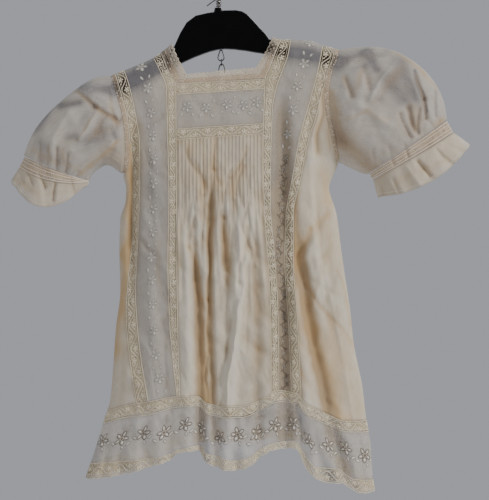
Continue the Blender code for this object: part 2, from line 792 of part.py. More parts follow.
def back_columns():
    spans = [
        (left_edge, seam(INNER_LACE_LEFT), BACK_PARTS),
        (seam(INNER_LACE_LEFT), seam(CENTRE_BACK), even(3)),
        (seam(CENTRE_BACK), seam(INNER_LACE_RIGHT), even(3)),
        (seam(INNER_LACE_RIGHT), right_edge, [1 - part for part in BACK_PARTS][::-1]),
    ]
    return columns_of("back", spans)


def columns_of(face, spans):
    shares = []
    for first, last, parts in spans:
        for part in parts[:-1]:
            shares.append(column_share(face, first, last, part))
    shares.append(1.0)
    return shares


def column_share(face, first, last, part):
    across, down = spot(face, first, last, part, 1.0)
    left, right = left_edge(down), right_edge(down)
    return (across - left) / (right - left)


def hem_ring(name, upper, lower, steps, material):
    """A closed ring of cloth between two of the hem lines."""
    rows = []
    for step in range(steps + 1):
        part = step / steps
        row = []
        for face, shares in (("front", front_columns()), ("back", back_columns()[::-1])):
            for share in shares[:-1]:
                across, down = 0.0, 500.0
                for _ in range(8):
                    left, right = left_edge(down), right_edge(down)
                    across = left + share * (right - left)
                    top = hem_line(face, upper, across) + GAP
                    low = hem_line(face, lower, across) - GAP * (lower < 3)
                    down = top + part * (low - top)
                row.append(both(face, across, down, share in (0.0, 1.0)))
        rows.append(row + row[:1])
    sheet = Sheet()
    sheet.grid(rows)
    return sheet.build(name, material)


def placket(name, material):
    """The strip that covers the back opening, made from the back and moved out."""
    rows = []
    half = PLACKET_WIDTH / 2
    first_row, last_row = PLACKET_ROWS
    line = seam(CENTRE_BACK)
    for number in range(first_row, last_row + 1):
        across, down = spot("back", line, line, 0.0, ROW_SHARE[number])
        down = back_neck_line(across) + 2 * GAP if number == first_row else down
        row = []
        for offset in (-half, 0.0, half):
            under = cloth_at("back", across + offset, down)
            inside = (under[0], under[1] + 2 * GAP, under[2])
            row.append(((under[0], under[1] + 2 * GAP + WALL, under[2]), inside))
        rows.append(row)
    sheet = Sheet()
    sheet.grid(rows)
    return sheet.build(name, material)


def button(name, share, material):
    line = seam(CENTRE_BACK)
    across, down = spot("back", line, line, 0.0, share)
    under = cloth_at("back", across, down)
    bpy.ops.mesh.primitive_cylinder_add(vertices=20, radius=BUTTON_RADIUS * MM, depth=BUTTON_HEIGHT * MM)
    thing = bpy.context.object
    thing.name = name
    thing.data.name = name
    for collection in list(thing.users_collection):
        collection.objects.unlink(thing)
    tilt = math.atan2(cloth_at("back", across, down + 10)[1] - cloth_at("back", across, down - 10)[1], 20)
    thing.rotation_euler = (math.radians(90) - tilt, 0, 0)
    clear = WALL + 4 * GAP + BUTTON_HEIGHT / 2 + 0.7
    thing.location = (under[0] * MM, (under[1] + clear) * MM, under[2] * MM)
    return finish(thing, material)


def crease_rise(across, down):
    total = 0.0
    for start_across, start_down, end_across, end_down, half, rise in SLEEVE_FOLDS:
        run_across, run_down = end_across - start_across, end_down - start_down
        length = run_across ** 2 + run_down ** 2
        part = ((across - start_across) * run_across + (down - start_down) * run_down) / length
        part = min(1.0, max(0.0, part))
        away = math.dist((across, down), (start_across + part * run_across, start_down + part * run_down))
        total += rise * math.exp(-(away / half) ** 2)
    return total


def ring_point(row, angle, rise):
    """Point of a sleeve row at an angle from its top round by the front."""
    across_top, down_top, across_low, down_low, half, bow, gather, droop = row
    share = (1 - math.cos(angle)) / 2
    across = across_top + share * (across_low - across_top)
    down = down_top + share * (down_low - down_top)
    across += bow * math.sin(angle) ** 2
    down += droop * math.sin(angle) ** 2 * (1.0 if math.sin(angle) > 0 else 0.5)
    out_across = math.cos(angle) * (across_top - across_low) / 2
    out_down = math.cos(angle) * (down_top - down_low) / 2
    out_depth = -math.sin(angle) * half
    length = math.sqrt(out_across ** 2 + out_down ** 2 + out_depth ** 2)
    grow = 1 + rise / length
    centre_across = across - out_across
    centre_down = down - out_down
    grown_across = centre_across + out_across * grow
    grown_down = centre_down + out_down * grow
    crease = crease_rise(grown_across, grown_down) * math.sin(angle) ** 2
    return (grown_across, out_depth * grow - math.copysign(crease, math.sin(angle)), -grown_down)


def armhole_ring(side, inset):
    """The sleeve's own seam row, just outside the armhole of the body."""
    edge_line = left_edge if side == "left" else right_edge
    outward = -1 if side == "left" else 1
    points = []
    order = [("front", number) for number in range(0, UNDERARM_ROW)]
    order += [("back", number) for number in range(UNDERARM_ROW, 0, -1)]
    for face, number in order:
        share = min(ROW_SHARE[number], UNDERARM_SHARE)
        across, down = spot(face, edge_line, edge_line, 0.0, share)
        if number in (0, UNDERARM_ROW):
            depth = 0.0
            down += inset if number == 0 else -inset
        else:
            depth = -max(0.0, armhole_depth(share) - inset + GAP)
            down += inset * (1 - 2 * share / UNDERARM_SHARE) * 0.8
        points.append((across + outward * 2 * GAP, depth if face == "front" else -depth, -down))
    return points


def seam_angles():
    angles = []
    for number in range(UNDERARM_ROW):
        share = min(ROW_SHARE[number], UNDERARM_SHARE)
        angles.append(math.acos(1 - 2 * share / UNDERARM_SHARE))
    angles.append(math.pi)
    return angles + [2 * math.pi - angle for angle in angles[UNDERARM_ROW - 1:0:-1]]


def wave_height(waves, angle):
    """Uneven waves round a ring, from 0 in a trough to 1 on a crest."""
    return 0.5 - 0.5 * math.cos(waves * angle + 0.9 * math.sin(3 * angle))


def tube(name, table, columns, waves, material):
    """A piece of a cuff as closed rings, its waves in both sides of the wall."""
    verts, faces, sides = [], [], []
    for inset in (0.0, WALL):
        numbered = []
        for row in table:
            start = len(verts)
            for step in range(columns):
                angle = 2 * math.pi * step / columns
                verts.append(ring_point(row, angle, row[6] * wave_height(waves, angle) - inset))
            numbered.append([(start + step % columns, step / columns) for step in range(columns + 1)])
        for upper, lower in zip(numbered, numbered[1:]):
            for face in zip_rows(upper, lower):
                faces.append(face[::-1] if inset else face)
        sides.append(numbered)
    outer, inner = sides
    faces += [face[::-1] for face in zip_rows(outer[0], inner[0])]
    faces += zip_rows(outer[-1], inner[-1])
    return mesh_object(name, verts, faces, material)


def half_sleeve(name, side, face, table, material):
    """Front or back of a sleeve, from the fold along its top to the seam under the arm.
    It starts at the armhole; its gathers are raised on the outside over a plain inside."""
    first, last = (0.0, 0.5) if face == "front" else (0.5, 1.0)
    clear = -GAP if face == "front" else GAP
    walls = []
    for columns, inset in ((SLEEVE_COLUMNS, 0.0), (SLEEVE_COLUMNS // 2, WALL)):
        ring = armhole_ring(side, inset)
        shares = [angle / (2 * math.pi) for angle in seam_angles()]
        rows = [list(zip(shares, ring)) + [(1.0, ring[0])]]
        for row in table:
            line = []
            for step in range(columns + 1):
                angle = 2 * math.pi * step / columns
                rise = -inset if inset else row[6] * wave_height(GATHERS, angle)
                line.append((step / columns, ring_point(row, angle, rise)))
            rows.append(line)
        rows = [[item for item in row if first - 0.001 <= item[0] <= last + 0.001] for row in rows]
        for row in rows:
            for end in (0, -1):
                share, (across, depth, height) = row[end]
                row[end] = (share, (across, clear, height))
        walls.append(rows)
    return wall_of_rows(name, *walls, material)


def mesh_from_curve(thing, material):
    """Replace a curve object by its welded mesh."""
    bpy.context.view_layer.update()
    graph = bpy.context.evaluated_depsgraph_get()
    mesh = bpy.data.meshes.new_from_object(thing.evaluated_get(graph))
    name = thing.name
    matrix = thing.matrix_world.copy()
    bpy.data.objects.remove(thing, do_unlink=True)
    shape = bmesh.new()
    shape.from_mesh(mesh)
    bmesh.ops.transform(shape, matrix=matrix, verts=shape.verts)
    bmesh.ops.remove_doubles(shape, verts=shape.verts, dist=1e-6)
    bmesh.ops.triangulate(shape, faces=shape.faces)
    bmesh.ops.recalc_face_normals(shape, faces=shape.faces)
    for face in shape.faces:
        face.smooth = True
    shape.to_mesh(mesh)
    shape.free()
    mesh.name = name
    return finish(bpy.data.objects.new(name, mesh), material)


def wire(name, path, radius, closed, material, resolution=1):
    """A round wire through (across, depth, down) points."""
    curve = bpy.data.curves.new(name, "CURVE")
    curve.dimensions = "3D"
    curve.bevel_depth = radius * MM
    curve.bevel_resolution = resolution
    curve.use_fill_caps = not closed
    line = curve.splines.new("POLY")
    line.points.add(len(path) - 1)
    for point, (across, depth, down) in zip(line.points, path):
        point.co = (across * MM, depth * MM, -down * MM, 1.0)
    line.use_cyclic_u = closed
    thing = bpy.data.objects.new(name, curve)
    bpy.data.collections[COLLECTION].objects.link(thing)
    return mesh_from_curve(thing, material)


def hanger_body(name, material):
    curve = bpy.data.curves.new(name, "CURVE")
    curve.dimensions = "2D"
    curve.fill_mode = "BOTH"
    curve.extrude = HANGER_HALF * MM
    curve.bevel_depth = HANGER_ROUND * MM
    curve.bevel_resolution = 1
    curve.offset = -HANGER_ROUND * MM
    line = curve.splines.new("POLY")
    line.points.add(len(HANGER_OUTLINE) - 1)
    for point, (across, down) in zip(line.points, HANGER_OUTLINE):
        point.co = (across * MM, -down * MM, 0.0, 1.0)
    line.use_cyclic_u = True
    thing = bpy.data.objects.new(name, curve)
    bpy.data.collections[COLLECTION].objects.link(thing)
    thing.rotation_euler = (math.radians(90), 0, 0)
    return mesh_from_curve(thing, material)


def hook_path():
    path = [(0, 0, RAIL_TO_SHANK), (0, 0, 47), (0.8, 0, 43), (3.6, 0, 39.2)]
    radius = HOOK_RADIUS + HOOK_WIRE
    for step in range(19):
        angle = math.radians(-62 + step * 15)
        path.append((radius * math.cos(angle), 0, HOOK_RADIUS - radius * math.sin(angle)))
    return path


def winding_path():
    path = [(-12.6, -3.6, 54.6), (-7.5, -3.6, 50.6), (-3.2, -3.2, 47.6)]
    turns = 4
    for step in range(turns * 10 + 1):
        angle = math.radians(240) + 2 * math.pi * step / 10
        path.append((2.45 * math.cos(angle), 2.45 * math.sin(angle), 47.2 + 7.6 * step / (turns * 10)))
    return path


def eye_path():
    """Pear-shaped loop below the plate: a tight bend above, a wide one below."""
    upper_bend, upper_down = 1.4, 104.0
    lower_bend, lower_down = 3.4, 110.8
    turn = math.acos((lower_bend - upper_bend) / (lower_down - upper_down))
    path = []
    for step in range(7):
        angle = -turn + 2 * turn * step / 6
        path.append((2.8 + upper_bend * math.sin(angle), 0, upper_down - upper_bend * math.cos(angle)))
    for step in range(11):
        angle = turn + (2 * math.pi - 2 * turn) * step / 10
        path.append((2.8 + lower_bend * math.sin(angle), 0, lower_down - lower_bend * math.cos(angle)))
    return path


def link_path():
    path = []
    for step in range(20):
        angle = 2 * math.pi * step / 20
        path.append((3.6 + 3.3 * math.sin(angle), 0, 125.0 - 7.3 * math.cos(angle)))
    return path


def ring_path():
    path = []
    for step in range(14):
        angle = 2 * math.pi * step / 14
        path.append((3.3, 3.5 * math.sin(angle), 116.0 - 3.5 * math.cos(angle)))
    return path


def build():
    clear_scene()
    for collection in list(bpy.data.collections):
        bpy.data.collections.remove(collection)
    home = bpy.data.collections.new(COLLECTION)
    bpy.context.scene.collection.children.link(home)
    plastic = make_material("hanger_plastic", (0.012, 0.012, 0.014), 0.3)
    steel = make_material("hook_steel", (0.30, 0.29, 0.28), 0.35, 1.0)
    wound = make_material("winding_steel", (0.24, 0.23, 0.22), 0.45, 1.0)

    hanger_body("hanger_body", plastic)
    wire("hanger_hook", hook_path(), HOOK_WIRE, False, steel)
    wire("hanger_winding", winding_path(), 0.7, False, wound, 0)
    wire("hanger_eye", eye_path(), 0.7, True, make_material("eye_steel", (0.2, 0.2, 0.2), 0.4, 1.0))
    wire("hanger_ring", ring_path(), 0.55, True, make_material("ring_steel", (0.2, 0.2, 0.2), 0.4, 1.0))
    wire("hanger_link", link_path(), 0.7, True, make_material("link_steel", (0.25, 0.25, 0.25), 0.4, 1.0))

    neck_trim("neck_beading", 0, lace_colour("neck_beading_thread"))
    neck_trim("neck_edging", 1, lace_colour("neck_edging_lace"))
    yoke_piece("yoke_lace_upper", "upper", "band_top", 1, lace_colour("yoke_lace_upper_thread"))
    yoke_piece("yoke_band", "band_top", "band_low", 3, cool_white("yoke_band_lawn"))
    yoke_piece("yoke_lace_lower", "band_low", "lower", 1, lace_colour("yoke_lace_lower_thread"))
    centre_front("centre_front", cream("centre_front_lawn"))

    strip_over_shoulder("inner_lace_left", seam(BAND_LEFT_INNER), seam(INNER_LACE_LEFT), 1,
                        lace_colour("inner_lace_left_thread"))
    strip_over_shoulder("band_left", seam(BAND_LEFT_OUTER), seam(BAND_LEFT_INNER), 3,
                        cool_white("band_left_lawn"))
    strip_over_shoulder("outer_lace_left", outer_lace_left, seam(BAND_LEFT_OUTER), 2,
                        lace_colour("outer_lace_left_thread"))
    strip_over_shoulder("inner_lace_right", seam(INNER_LACE_RIGHT), seam(BAND_RIGHT_INNER), 1,
                        lace_colour("inner_lace_right_thread"))
    strip_over_shoulder("band_right", seam(BAND_RIGHT_INNER), seam(BAND_RIGHT_OUTER), 3,
                        cool_white("band_right_lawn"))
    strip_over_shoulder("outer_lace_right", seam(BAND_RIGHT_OUTER), outer_lace_right, 2,
                        lace_colour("outer_lace_right_thread"))
    side_front("side_front_left", "left", 6, 3, cream("side_front_left_lawn"))
    side_front("side_front_right", "right", 4, 6, cream("side_front_right_lawn"))
    back_panel("back_left", "left", cream("back_left_lawn"))
    back_panel("back_right", "right", cream("back_right_lawn"))
    placket("back_placket", cream("back_placket_lawn"))
    for number, share in enumerate(BUTTON_ROWS):
        shell = make_material(f"button_{number + 1}_shell", (0.8, 0.78, 0.72), 0.3)
        button(f"back_button_{number + 1}", share, shell)
    hem_ring("hem_lace", 0, 1, 1, lace_colour("hem_lace_thread"))
    hem_ring("hem_flounce", 1, 2, 2, cool_white("hem_flounce_lawn"))
    hem_ring("hem_edging", 2, 3, 1, lace_colour("hem_edging_lace"))

    armhole_beading("armhole_beading_left", "left", lace_colour("armhole_beading_left_thread"))
    armhole_beading("armhole_beading_right", "right", lace_colour("armhole_beading_right_thread"))
    sleeves = {"left": (SLEEVE_LEFT, CUFF_LEFT, FRILL_LEFT), "right": (SLEEVE_RIGHT, CUFF_RIGHT, FRILL_RIGHT)}
    for side, (sleeve, cuff, frill) in sleeves.items():
        for face in ("front", "back"):
            lawn = cream(f"sleeve_{side}_{face}_lawn")
            half_sleeve(f"sleeve_{side}_{face}", side, face, sleeve, lawn)
        lace = lace_colour(f"cuff_lace_{side}_thread")
        tube(f"cuff_lace_{side}", cuff, 28, FRILL_WAVES, lace)
        lawn = cool_white(f"cuff_frill_{side}_lawn")
        tube(f"cuff_frill_{side}", frill, 35, FRILL_WAVES, lawn)


build()
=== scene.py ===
import math

import bpy
import numpy as np
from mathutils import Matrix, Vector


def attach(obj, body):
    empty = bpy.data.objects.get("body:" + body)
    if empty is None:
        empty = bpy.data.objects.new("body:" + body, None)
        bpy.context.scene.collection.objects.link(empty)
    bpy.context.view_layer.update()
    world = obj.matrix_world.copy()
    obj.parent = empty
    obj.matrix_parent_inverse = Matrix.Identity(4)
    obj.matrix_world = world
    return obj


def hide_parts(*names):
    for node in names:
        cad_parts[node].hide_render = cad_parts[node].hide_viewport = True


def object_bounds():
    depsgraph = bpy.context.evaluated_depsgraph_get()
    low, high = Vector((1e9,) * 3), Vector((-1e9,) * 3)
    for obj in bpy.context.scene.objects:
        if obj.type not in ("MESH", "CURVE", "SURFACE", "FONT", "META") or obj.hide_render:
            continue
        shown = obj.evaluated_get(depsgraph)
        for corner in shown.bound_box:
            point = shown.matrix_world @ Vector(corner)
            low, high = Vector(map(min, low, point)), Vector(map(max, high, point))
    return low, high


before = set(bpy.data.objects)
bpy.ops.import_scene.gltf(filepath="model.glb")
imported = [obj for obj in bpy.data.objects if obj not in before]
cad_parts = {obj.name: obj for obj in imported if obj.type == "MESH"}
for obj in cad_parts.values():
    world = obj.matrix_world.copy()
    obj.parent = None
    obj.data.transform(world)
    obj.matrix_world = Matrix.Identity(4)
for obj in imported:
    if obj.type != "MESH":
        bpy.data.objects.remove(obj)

solid_low, solid_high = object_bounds()

# The room.  A plain pale floor well below the hem, soft light from large lamps on both
# sides, and a camera square to the front of the dress, level with its middle.
FLOOR_DOWN = 0.78
FLOOR_RADIUS = 0.6
FLOOR_SIDES = 64
CAMERA_PLACE = (0.0286, -1.5, -0.3223)
PHOTO_HEIGHT_AT_DRESS = 0.550
SENSOR = 36

floor_mesh = bpy.data.meshes.new("floor")
rim = [(FLOOR_RADIUS * math.cos(turn * math.tau / FLOOR_SIDES) + 0.03,
        FLOOR_RADIUS * math.sin(turn * math.tau / FLOOR_SIDES), -FLOOR_DOWN) for turn in range(FLOOR_SIDES)]
floor_mesh.from_pydata(rim, [], [tuple(range(FLOOR_SIDES))])
floor = bpy.data.objects.new("floor", floor_mesh)
bpy.context.scene.collection.objects.link(floor)

world = bpy.data.worlds.new("pale_room")
bpy.context.scene.world = world
world.use_nodes = True
world.node_tree.nodes["Background"].inputs["Color"].default_value = (0.90, 0.92, 1.0, 1)
world.node_tree.nodes["Background"].inputs["Strength"].default_value = 0.40

for name, place, aim, width, power, tint in (
        ("window_light", (1.9, -1.25, 0.8), (0.0, 0, -0.3), 0.9, 46, (1.0, 0.97, 0.93)),
        ("fill_light", (-1.9, -1.6, 0.1), (0.0, 0, -0.3), 1.6, 6, (0.93, 0.96, 1.0)),
        ("back_light", (1.3, 1.7, 0.8), (0.0, 0, -0.3), 1.1, 20, (0.97, 0.98, 1.0))):
    lamp = bpy.data.lights.new(name, "AREA")
    lamp.size = width
    lamp.energy = power
    lamp.color = tint
    holder = bpy.data.objects.new(name, lamp)
    holder.location = place
    way = np.array(aim) - np.array(place)
    holder.rotation_euler = (math.atan2(math.hypot(way[0], way[1]), -way[2]), 0,
                             math.atan2(way[1], way[0]) - math.pi / 2)
    bpy.context.scene.collection.objects.link(holder)

camera = bpy.data.cameras.new("camera")
camera.sensor_width = SENSOR
camera.lens = SENSOR * abs(CAMERA_PLACE[1]) / PHOTO_HEIGHT_AT_DRESS
camera_holder = bpy.data.objects.new("camera", camera)
camera_holder.location = CAMERA_PLACE
camera_holder.rotation_euler = (math.pi / 2, 0, 0)
bpy.context.scene.collection.objects.link(camera_holder)
bpy.context.scene.camera = camera_holder


# The hanger: a small moulded plate of black glossy plastic with two arms, its face left
# bare.  Fine handling scratches and a little dust break up the gloss.
class Reading:
    """A value in a finish; arithmetic on it adds the Math nodes."""

    def __init__(self, finish, socket):
        self.finish = finish
        self.socket = socket

    def math(self, operation, *others):
        return self.finish.node("Math", {"operation": operation}, [self, *others])

    def __add__(self, other):
        return self.math("ADD", other)

    def __sub__(self, other):
        return self.math("SUBTRACT", other)

    def __mul__(self, other):
        return self.math("MULTIPLY", other)

    def __rsub__(self, other):
        return self.finish.node("Math", {"operation": "SUBTRACT"}, [other, self])

    __radd__ = __add__
    __rmul__ = __mul__

    def above(self, edge, soft):
        """0 below the edge, 1 above it, over a soft step."""
        return self.finish.node("MapRange", {"clamp": True}, [self, edge - soft, edge + soft, 0.0, 1.0])


class Finish:
    """One material: a Principled shader and the nodes that feed it."""

    def __init__(self, name, roughness, **constants):
        self.material = bpy.data.materials.new(name)
        self.material.use_nodes = True
        self.tree = self.material.node_tree
        self.shader = self.tree.nodes["Principled BSDF"]
        self.shader.inputs["Roughness"].default_value = roughness
        for socket, value in constants.items():
            self.shader.inputs[socket.replace("_", " ")].default_value = value

    def node(self, kind, settings=None, values=(), output=0):
        made = self.tree.nodes.new("ShaderNode" + kind)
        for key, value in (settings or {}).items():
            setattr(made, key, value)
        pairs = values.items() if isinstance(values, dict) else enumerate(values)
        for key, value in pairs:
            if isinstance(value, Reading):
                self.tree.links.new(value.socket, made.inputs[key])
            elif value is not None:
                made.inputs[key].default_value = value
        return Reading(self, made.outputs[output])

    def feed(self, socket, value):
        self.tree.links.new(value.socket, self.shader.inputs[socket])

    def place(self):
        return self.node("TexCoord", output="Object")

    def attribute(self, name, output="Vector"):
        return self.node("Attribute", {"attribute_name": name}, output=output)

    def part(self, vector, number):
        return self.node("SeparateXYZ", {}, [vector], number)

    def noise(self, scale, detail, rough=0.5):
        return self.node("TexNoise", {}, {"Vector": self.place(), "Scale": scale, "Detail": detail,
                                          "Roughness": rough}, "Fac")

    def streaks(self, place, stretch, detail):
        """Noise that is drawn out along the cloth."""
        drawn = self.node("VectorMath", {"operation": "MULTIPLY"}, [place, stretch])
        return self.node("TexNoise", {}, {"Vector": drawn, "Scale": 1.0, "Detail": detail}, "Fac")

    def mix(self, share, first, last):
        made = self.tree.nodes.new("ShaderNodeMix")
        made.data_type = "RGBA"
        for place, value in ((0, share), (6, first), (7, last)):
            if isinstance(value, Reading):
                self.tree.links.new(value.socket, made.inputs[place])
            else:
                made.inputs[place].default_value = value if place == 0 else (*value, 1.0)
        return Reading(self, made.outputs[2])

    def bump(self, height, distance, strength):
        return self.node("Bump", {}, {"Height": height, "Distance": distance, "Strength": strength}, "Normal")


def carry_over(node, finish):
    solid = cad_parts[node]
    solid.data.materials.clear()
    solid.data.materials.append(finish.material)


plastic = Finish("hanger_black_plastic", 0.3, Specular_IOR_Level=0.12)
dust = plastic.noise(900, 3).above(0.66, 0.06)
scuff = plastic.noise(60, 4).above(0.6, 0.1)
plastic.feed("Base Color", plastic.mix(dust * 0.2, (0.0012, 0.0012, 0.0014), (0.02, 0.02, 0.019)))
plastic.feed("Roughness", 0.24 + scuff * 0.16 + dust * 0.2)
plastic.feed("Normal", plastic.bump(plastic.noise(220, 3), 0.0001, 0.25))
carry_over("hanger_body", plastic)

# The hook, the fine wire wound on its shank and the short chain under the plate: dull
# steel wire, gone dark in the hollows of the winding.
steel = Finish("dull_steel_wire", 0.38, Metallic=1.0)
tarnish = steel.noise(700, 3).above(0.5, 0.15)
steel.feed("Base Color", steel.mix(tarnish, (0.34, 0.33, 0.32), (0.16, 0.145, 0.13)))
steel.feed("Roughness", 0.32 + tarnish * 0.2)
steel.feed("Normal", steel.bump(steel.noise(2500, 2), 0.00005, 0.4))
for wire_node in ("hanger_hook", "hanger_winding"):
    carry_over(wire_node, steel)
dark_steel = Finish("blackened_steel_chain", 0.5, Metallic=1.0)
grime = dark_steel.noise(900, 3)
dark_steel.feed("Base Color", dark_steel.mix(grime, (0.05, 0.047, 0.043), (0.13, 0.12, 0.11)))
dark_steel.feed("Roughness", 0.42 + grime * 0.25)
for wire_node in ("hanger_eye", "hanger_ring", "hanger_link"):
    carry_over(wire_node, dark_steel)

# The centre front: one panel of fine cream cotton lawn.  Twenty-four pintucks are sewn
# down from the yoke and let out below into soft folds.  Lengths here are millimetres:
# across runs with X, down is the distance below the rail.
MM = 0.001
# side seams as (down, across), shoulder crest and hem lines as (across, down)
SIDE_LEFT = [
    (118, -124), (131, -117.5), (146, -112.5), (163, -107.5), (179, -103.5), (196, -101.5),
    (212, -101), (229, -102.5), (241, -104.5), (254, -101.5), (267, -102), (289, -108),
    (322, -109), (366, -108), (410, -113), (454, -116), (487, -119), (509, -126),
    (542, -136), (573, -146), (600, -150),
]
SIDE_RIGHT = [
    (90, 137), (102, 132), (113, 129.5), (131, 122.8), (147, 120), (162, 120), (180, 122.5),
    (196, 126.5), (212, 130), (222, 132), (230, 130.5), (245, 124), (254, 121.5), (262, 123),
    (273, 127), (284, 130), (322, 135), (350, 139), (386, 144.5), (427, 149), (449, 153.5),
    (471, 158), (504, 162), (542, 168), (564, 169), (600, 174),
]
CREST = [
    (-135, 142), (-116, 130), (-92, 120), (-72, 111), (-58, 101.5), (-50, 95), (-30, 90), (4, 86),
    (40, 87), (58, 88), (69, 91), (90, 91), (101, 92), (114, 97), (131, 102), (146, 107),
]
FRONT_LINES = [
    [(-148, 500), (-119, 497), (-103, 492), (-75, 486), (-42, 480), (-22, 480), (-13, 487),
     (4, 490), (24, 490), (46, 484), (62, 474), (85, 477), (94, 487), (112, 497),
     (139, 508), (161, 509), (180, 510)],
    [(-148, 515), (-126, 512), (-103, 505), (-75, 501), (-42, 492), (-22, 491), (-13, 499),
     (4, 503), (24, 503), (46, 496), (62, 487), (85, 489), (94, 499), (112, 509),
     (139, 520), (164, 522), (180, 523)],
    [(-152, 558), (-141, 556), (-103, 551), (-75, 547), (-53, 542), (-40, 536), (-21, 533),
     (-13, 541), (2, 545), (18, 549), (35, 544), (48, 535), (62, 530), (84, 529),
     (94, 544), (106, 556), (128, 559), (147, 571), (170, 574), (189, 575)],
    [(-155, 573), (-146, 573), (-100, 565), (-75, 557), (-53, 550), (-42, 541), (-21, 539),
     (-13, 552), (18, 560), (35, 555), (48, 544), (62, 538), (84, 537), (94, 557),
     (103, 567), (117, 574), (134, 576), (147, 584), (158, 588), (173, 587), (189, 586)],
]
BACK_LINES = [
    [(-148, 500), (-119, 497), (-60, 484), (-20, 479), (20, 479), (70, 477), (110, 488),
     (161, 509), (180, 510)],
    [(-148, 515), (-126, 512), (-60, 497), (-20, 491), (20, 491), (70, 489), (110, 500),
     (164, 522), (180, 523)],
    [(-152, 558), (-138, 556), (-100, 547), (-60, 534), (-20, 524), (20, 524), (60, 521), (85, 521),
     (110, 534), (147, 562), (169, 574), (189, 575)],
    [(-155, 573), (-146, 573), (-100, 563), (-60, 548), (-20, 537), (20, 537), (60, 534), (85, 534),
     (110, 548), (147, 575), (173, 586), (189, 586)],
]
# share of the way down, depth of the front, depth of the back
FULLNESS = [(0.0, 9, 9), (0.1, 13, 12), (0.2, 17, 14), (0.3, 20, 16), (0.5, 24, 18), (0.8, 29, 21),
            (1.0, 32, 23), (1.25, 35, 25)]
# three points (across, down), half width, rise: the folds of the solids, then finer ones
FRONT_FOLDS = [
    (-93, 175, -93, 280, -95, 385, 5.5, -8.0),
    (-78, 330, -70, 430, -62, 640, 9.0, 3.5),
    (-28, 300, -21, 388, -18, 640, 5.0, -6.0),
    (-34, 290, -33, 400, -34, 640, 6.5, 3.0),
    (-6, 232, -9, 330, 2, 640, 3.8, -5.2),
    (4, 268, 7, 322, 11, 380, 4.0, -4.5),
    (30, 265, 22, 350, 4, 640, 6.0, 4.5),
    (41, 300, 42, 400, 44, 640, 6.0, -3.5),
    (69, 150, 71, 300, 74, 640, 8.0, -10.0),
    (86, 300, 97, 390, 149, 620, 7.0, -8.0),
    (84, 330, 88, 410, 112, 640, 7.0, 3.5),
    (118, 290, 124, 380, 134, 470, 6.0, -2.5),
    (-17, 215, -15, 260, -19, 330, 2.6, -1.8),
    (-38, 240, -37, 300, -40, 380, 3.0, -1.0),
    (14, 232, 15, 290, 12, 360, 3.0, -1.8),
    (21, 245, 33, 330, 30, 440, 4.0, -1.4),
    (36, 235, 35, 300, 36, 400, 3.0, 1.2),
    (-84, 200, -76, 228, -60, 250, 4.0, -1.6),
    (-92, 300, -80, 318, -58, 340, 4.5, -2.0),
    (-72, 170, -70, 260, -66, 330, 6.0, 1.2),
    (-80, 395, -70, 450, -64, 520, 5.0, -1.2),
    (98, 200, 104, 300, 112, 400, 7.0, 2.0),
    (104, 240, 112, 320, 120, 400, 3.5, -1.6),
    (100, 150, 96, 200, 84, 260, 4.0, -1.8),
    (112, 330, 128, 400, 150, 520, 4.0, 1.8),
    (-104, 330, -104, 400, -108, 500, 4.0, -1.2),
    (-112, 470, -122, 530, -128, 640, 6.0, -3.0),
    (-86, 480, -88, 540, -92, 640, 6.0, 2.0),
    (-56, 490, -54, 540, -52, 640, 5.0, -2.2),
    (22, 480, 26, 540, 28, 640, 6.0, 2.5),
    (120, 490, 124, 540, 130, 640, 6.0, 2.5),
]
BACK_FOLDS = [
    (-70, 260, -74, 400, -86, 640, 10.0, 4.0),
    (-34, 300, -38, 430, -44, 640, 9.0, -4.0),
    (46, 300, 50, 430, 56, 640, 9.0, 4.0),
    (86, 260, 96, 400, 110, 640, 9.0, -4.0),
    (-92, 250, -96, 360, -104, 500, 4.0, -2.0),
    (-18, 320, -16, 420, -18, 560, 4.0, 1.8),
    (20, 330, 22, 430, 26, 560, 4.0, -1.8),
    (112, 240, 120, 340, 132, 500, 4.5, 2.0),
    (-60, 180, -50, 210, -20, 232, 5.0, -1.2),
    (70, 170, 60, 205, 30, 230, 5.0, -1.2),
]
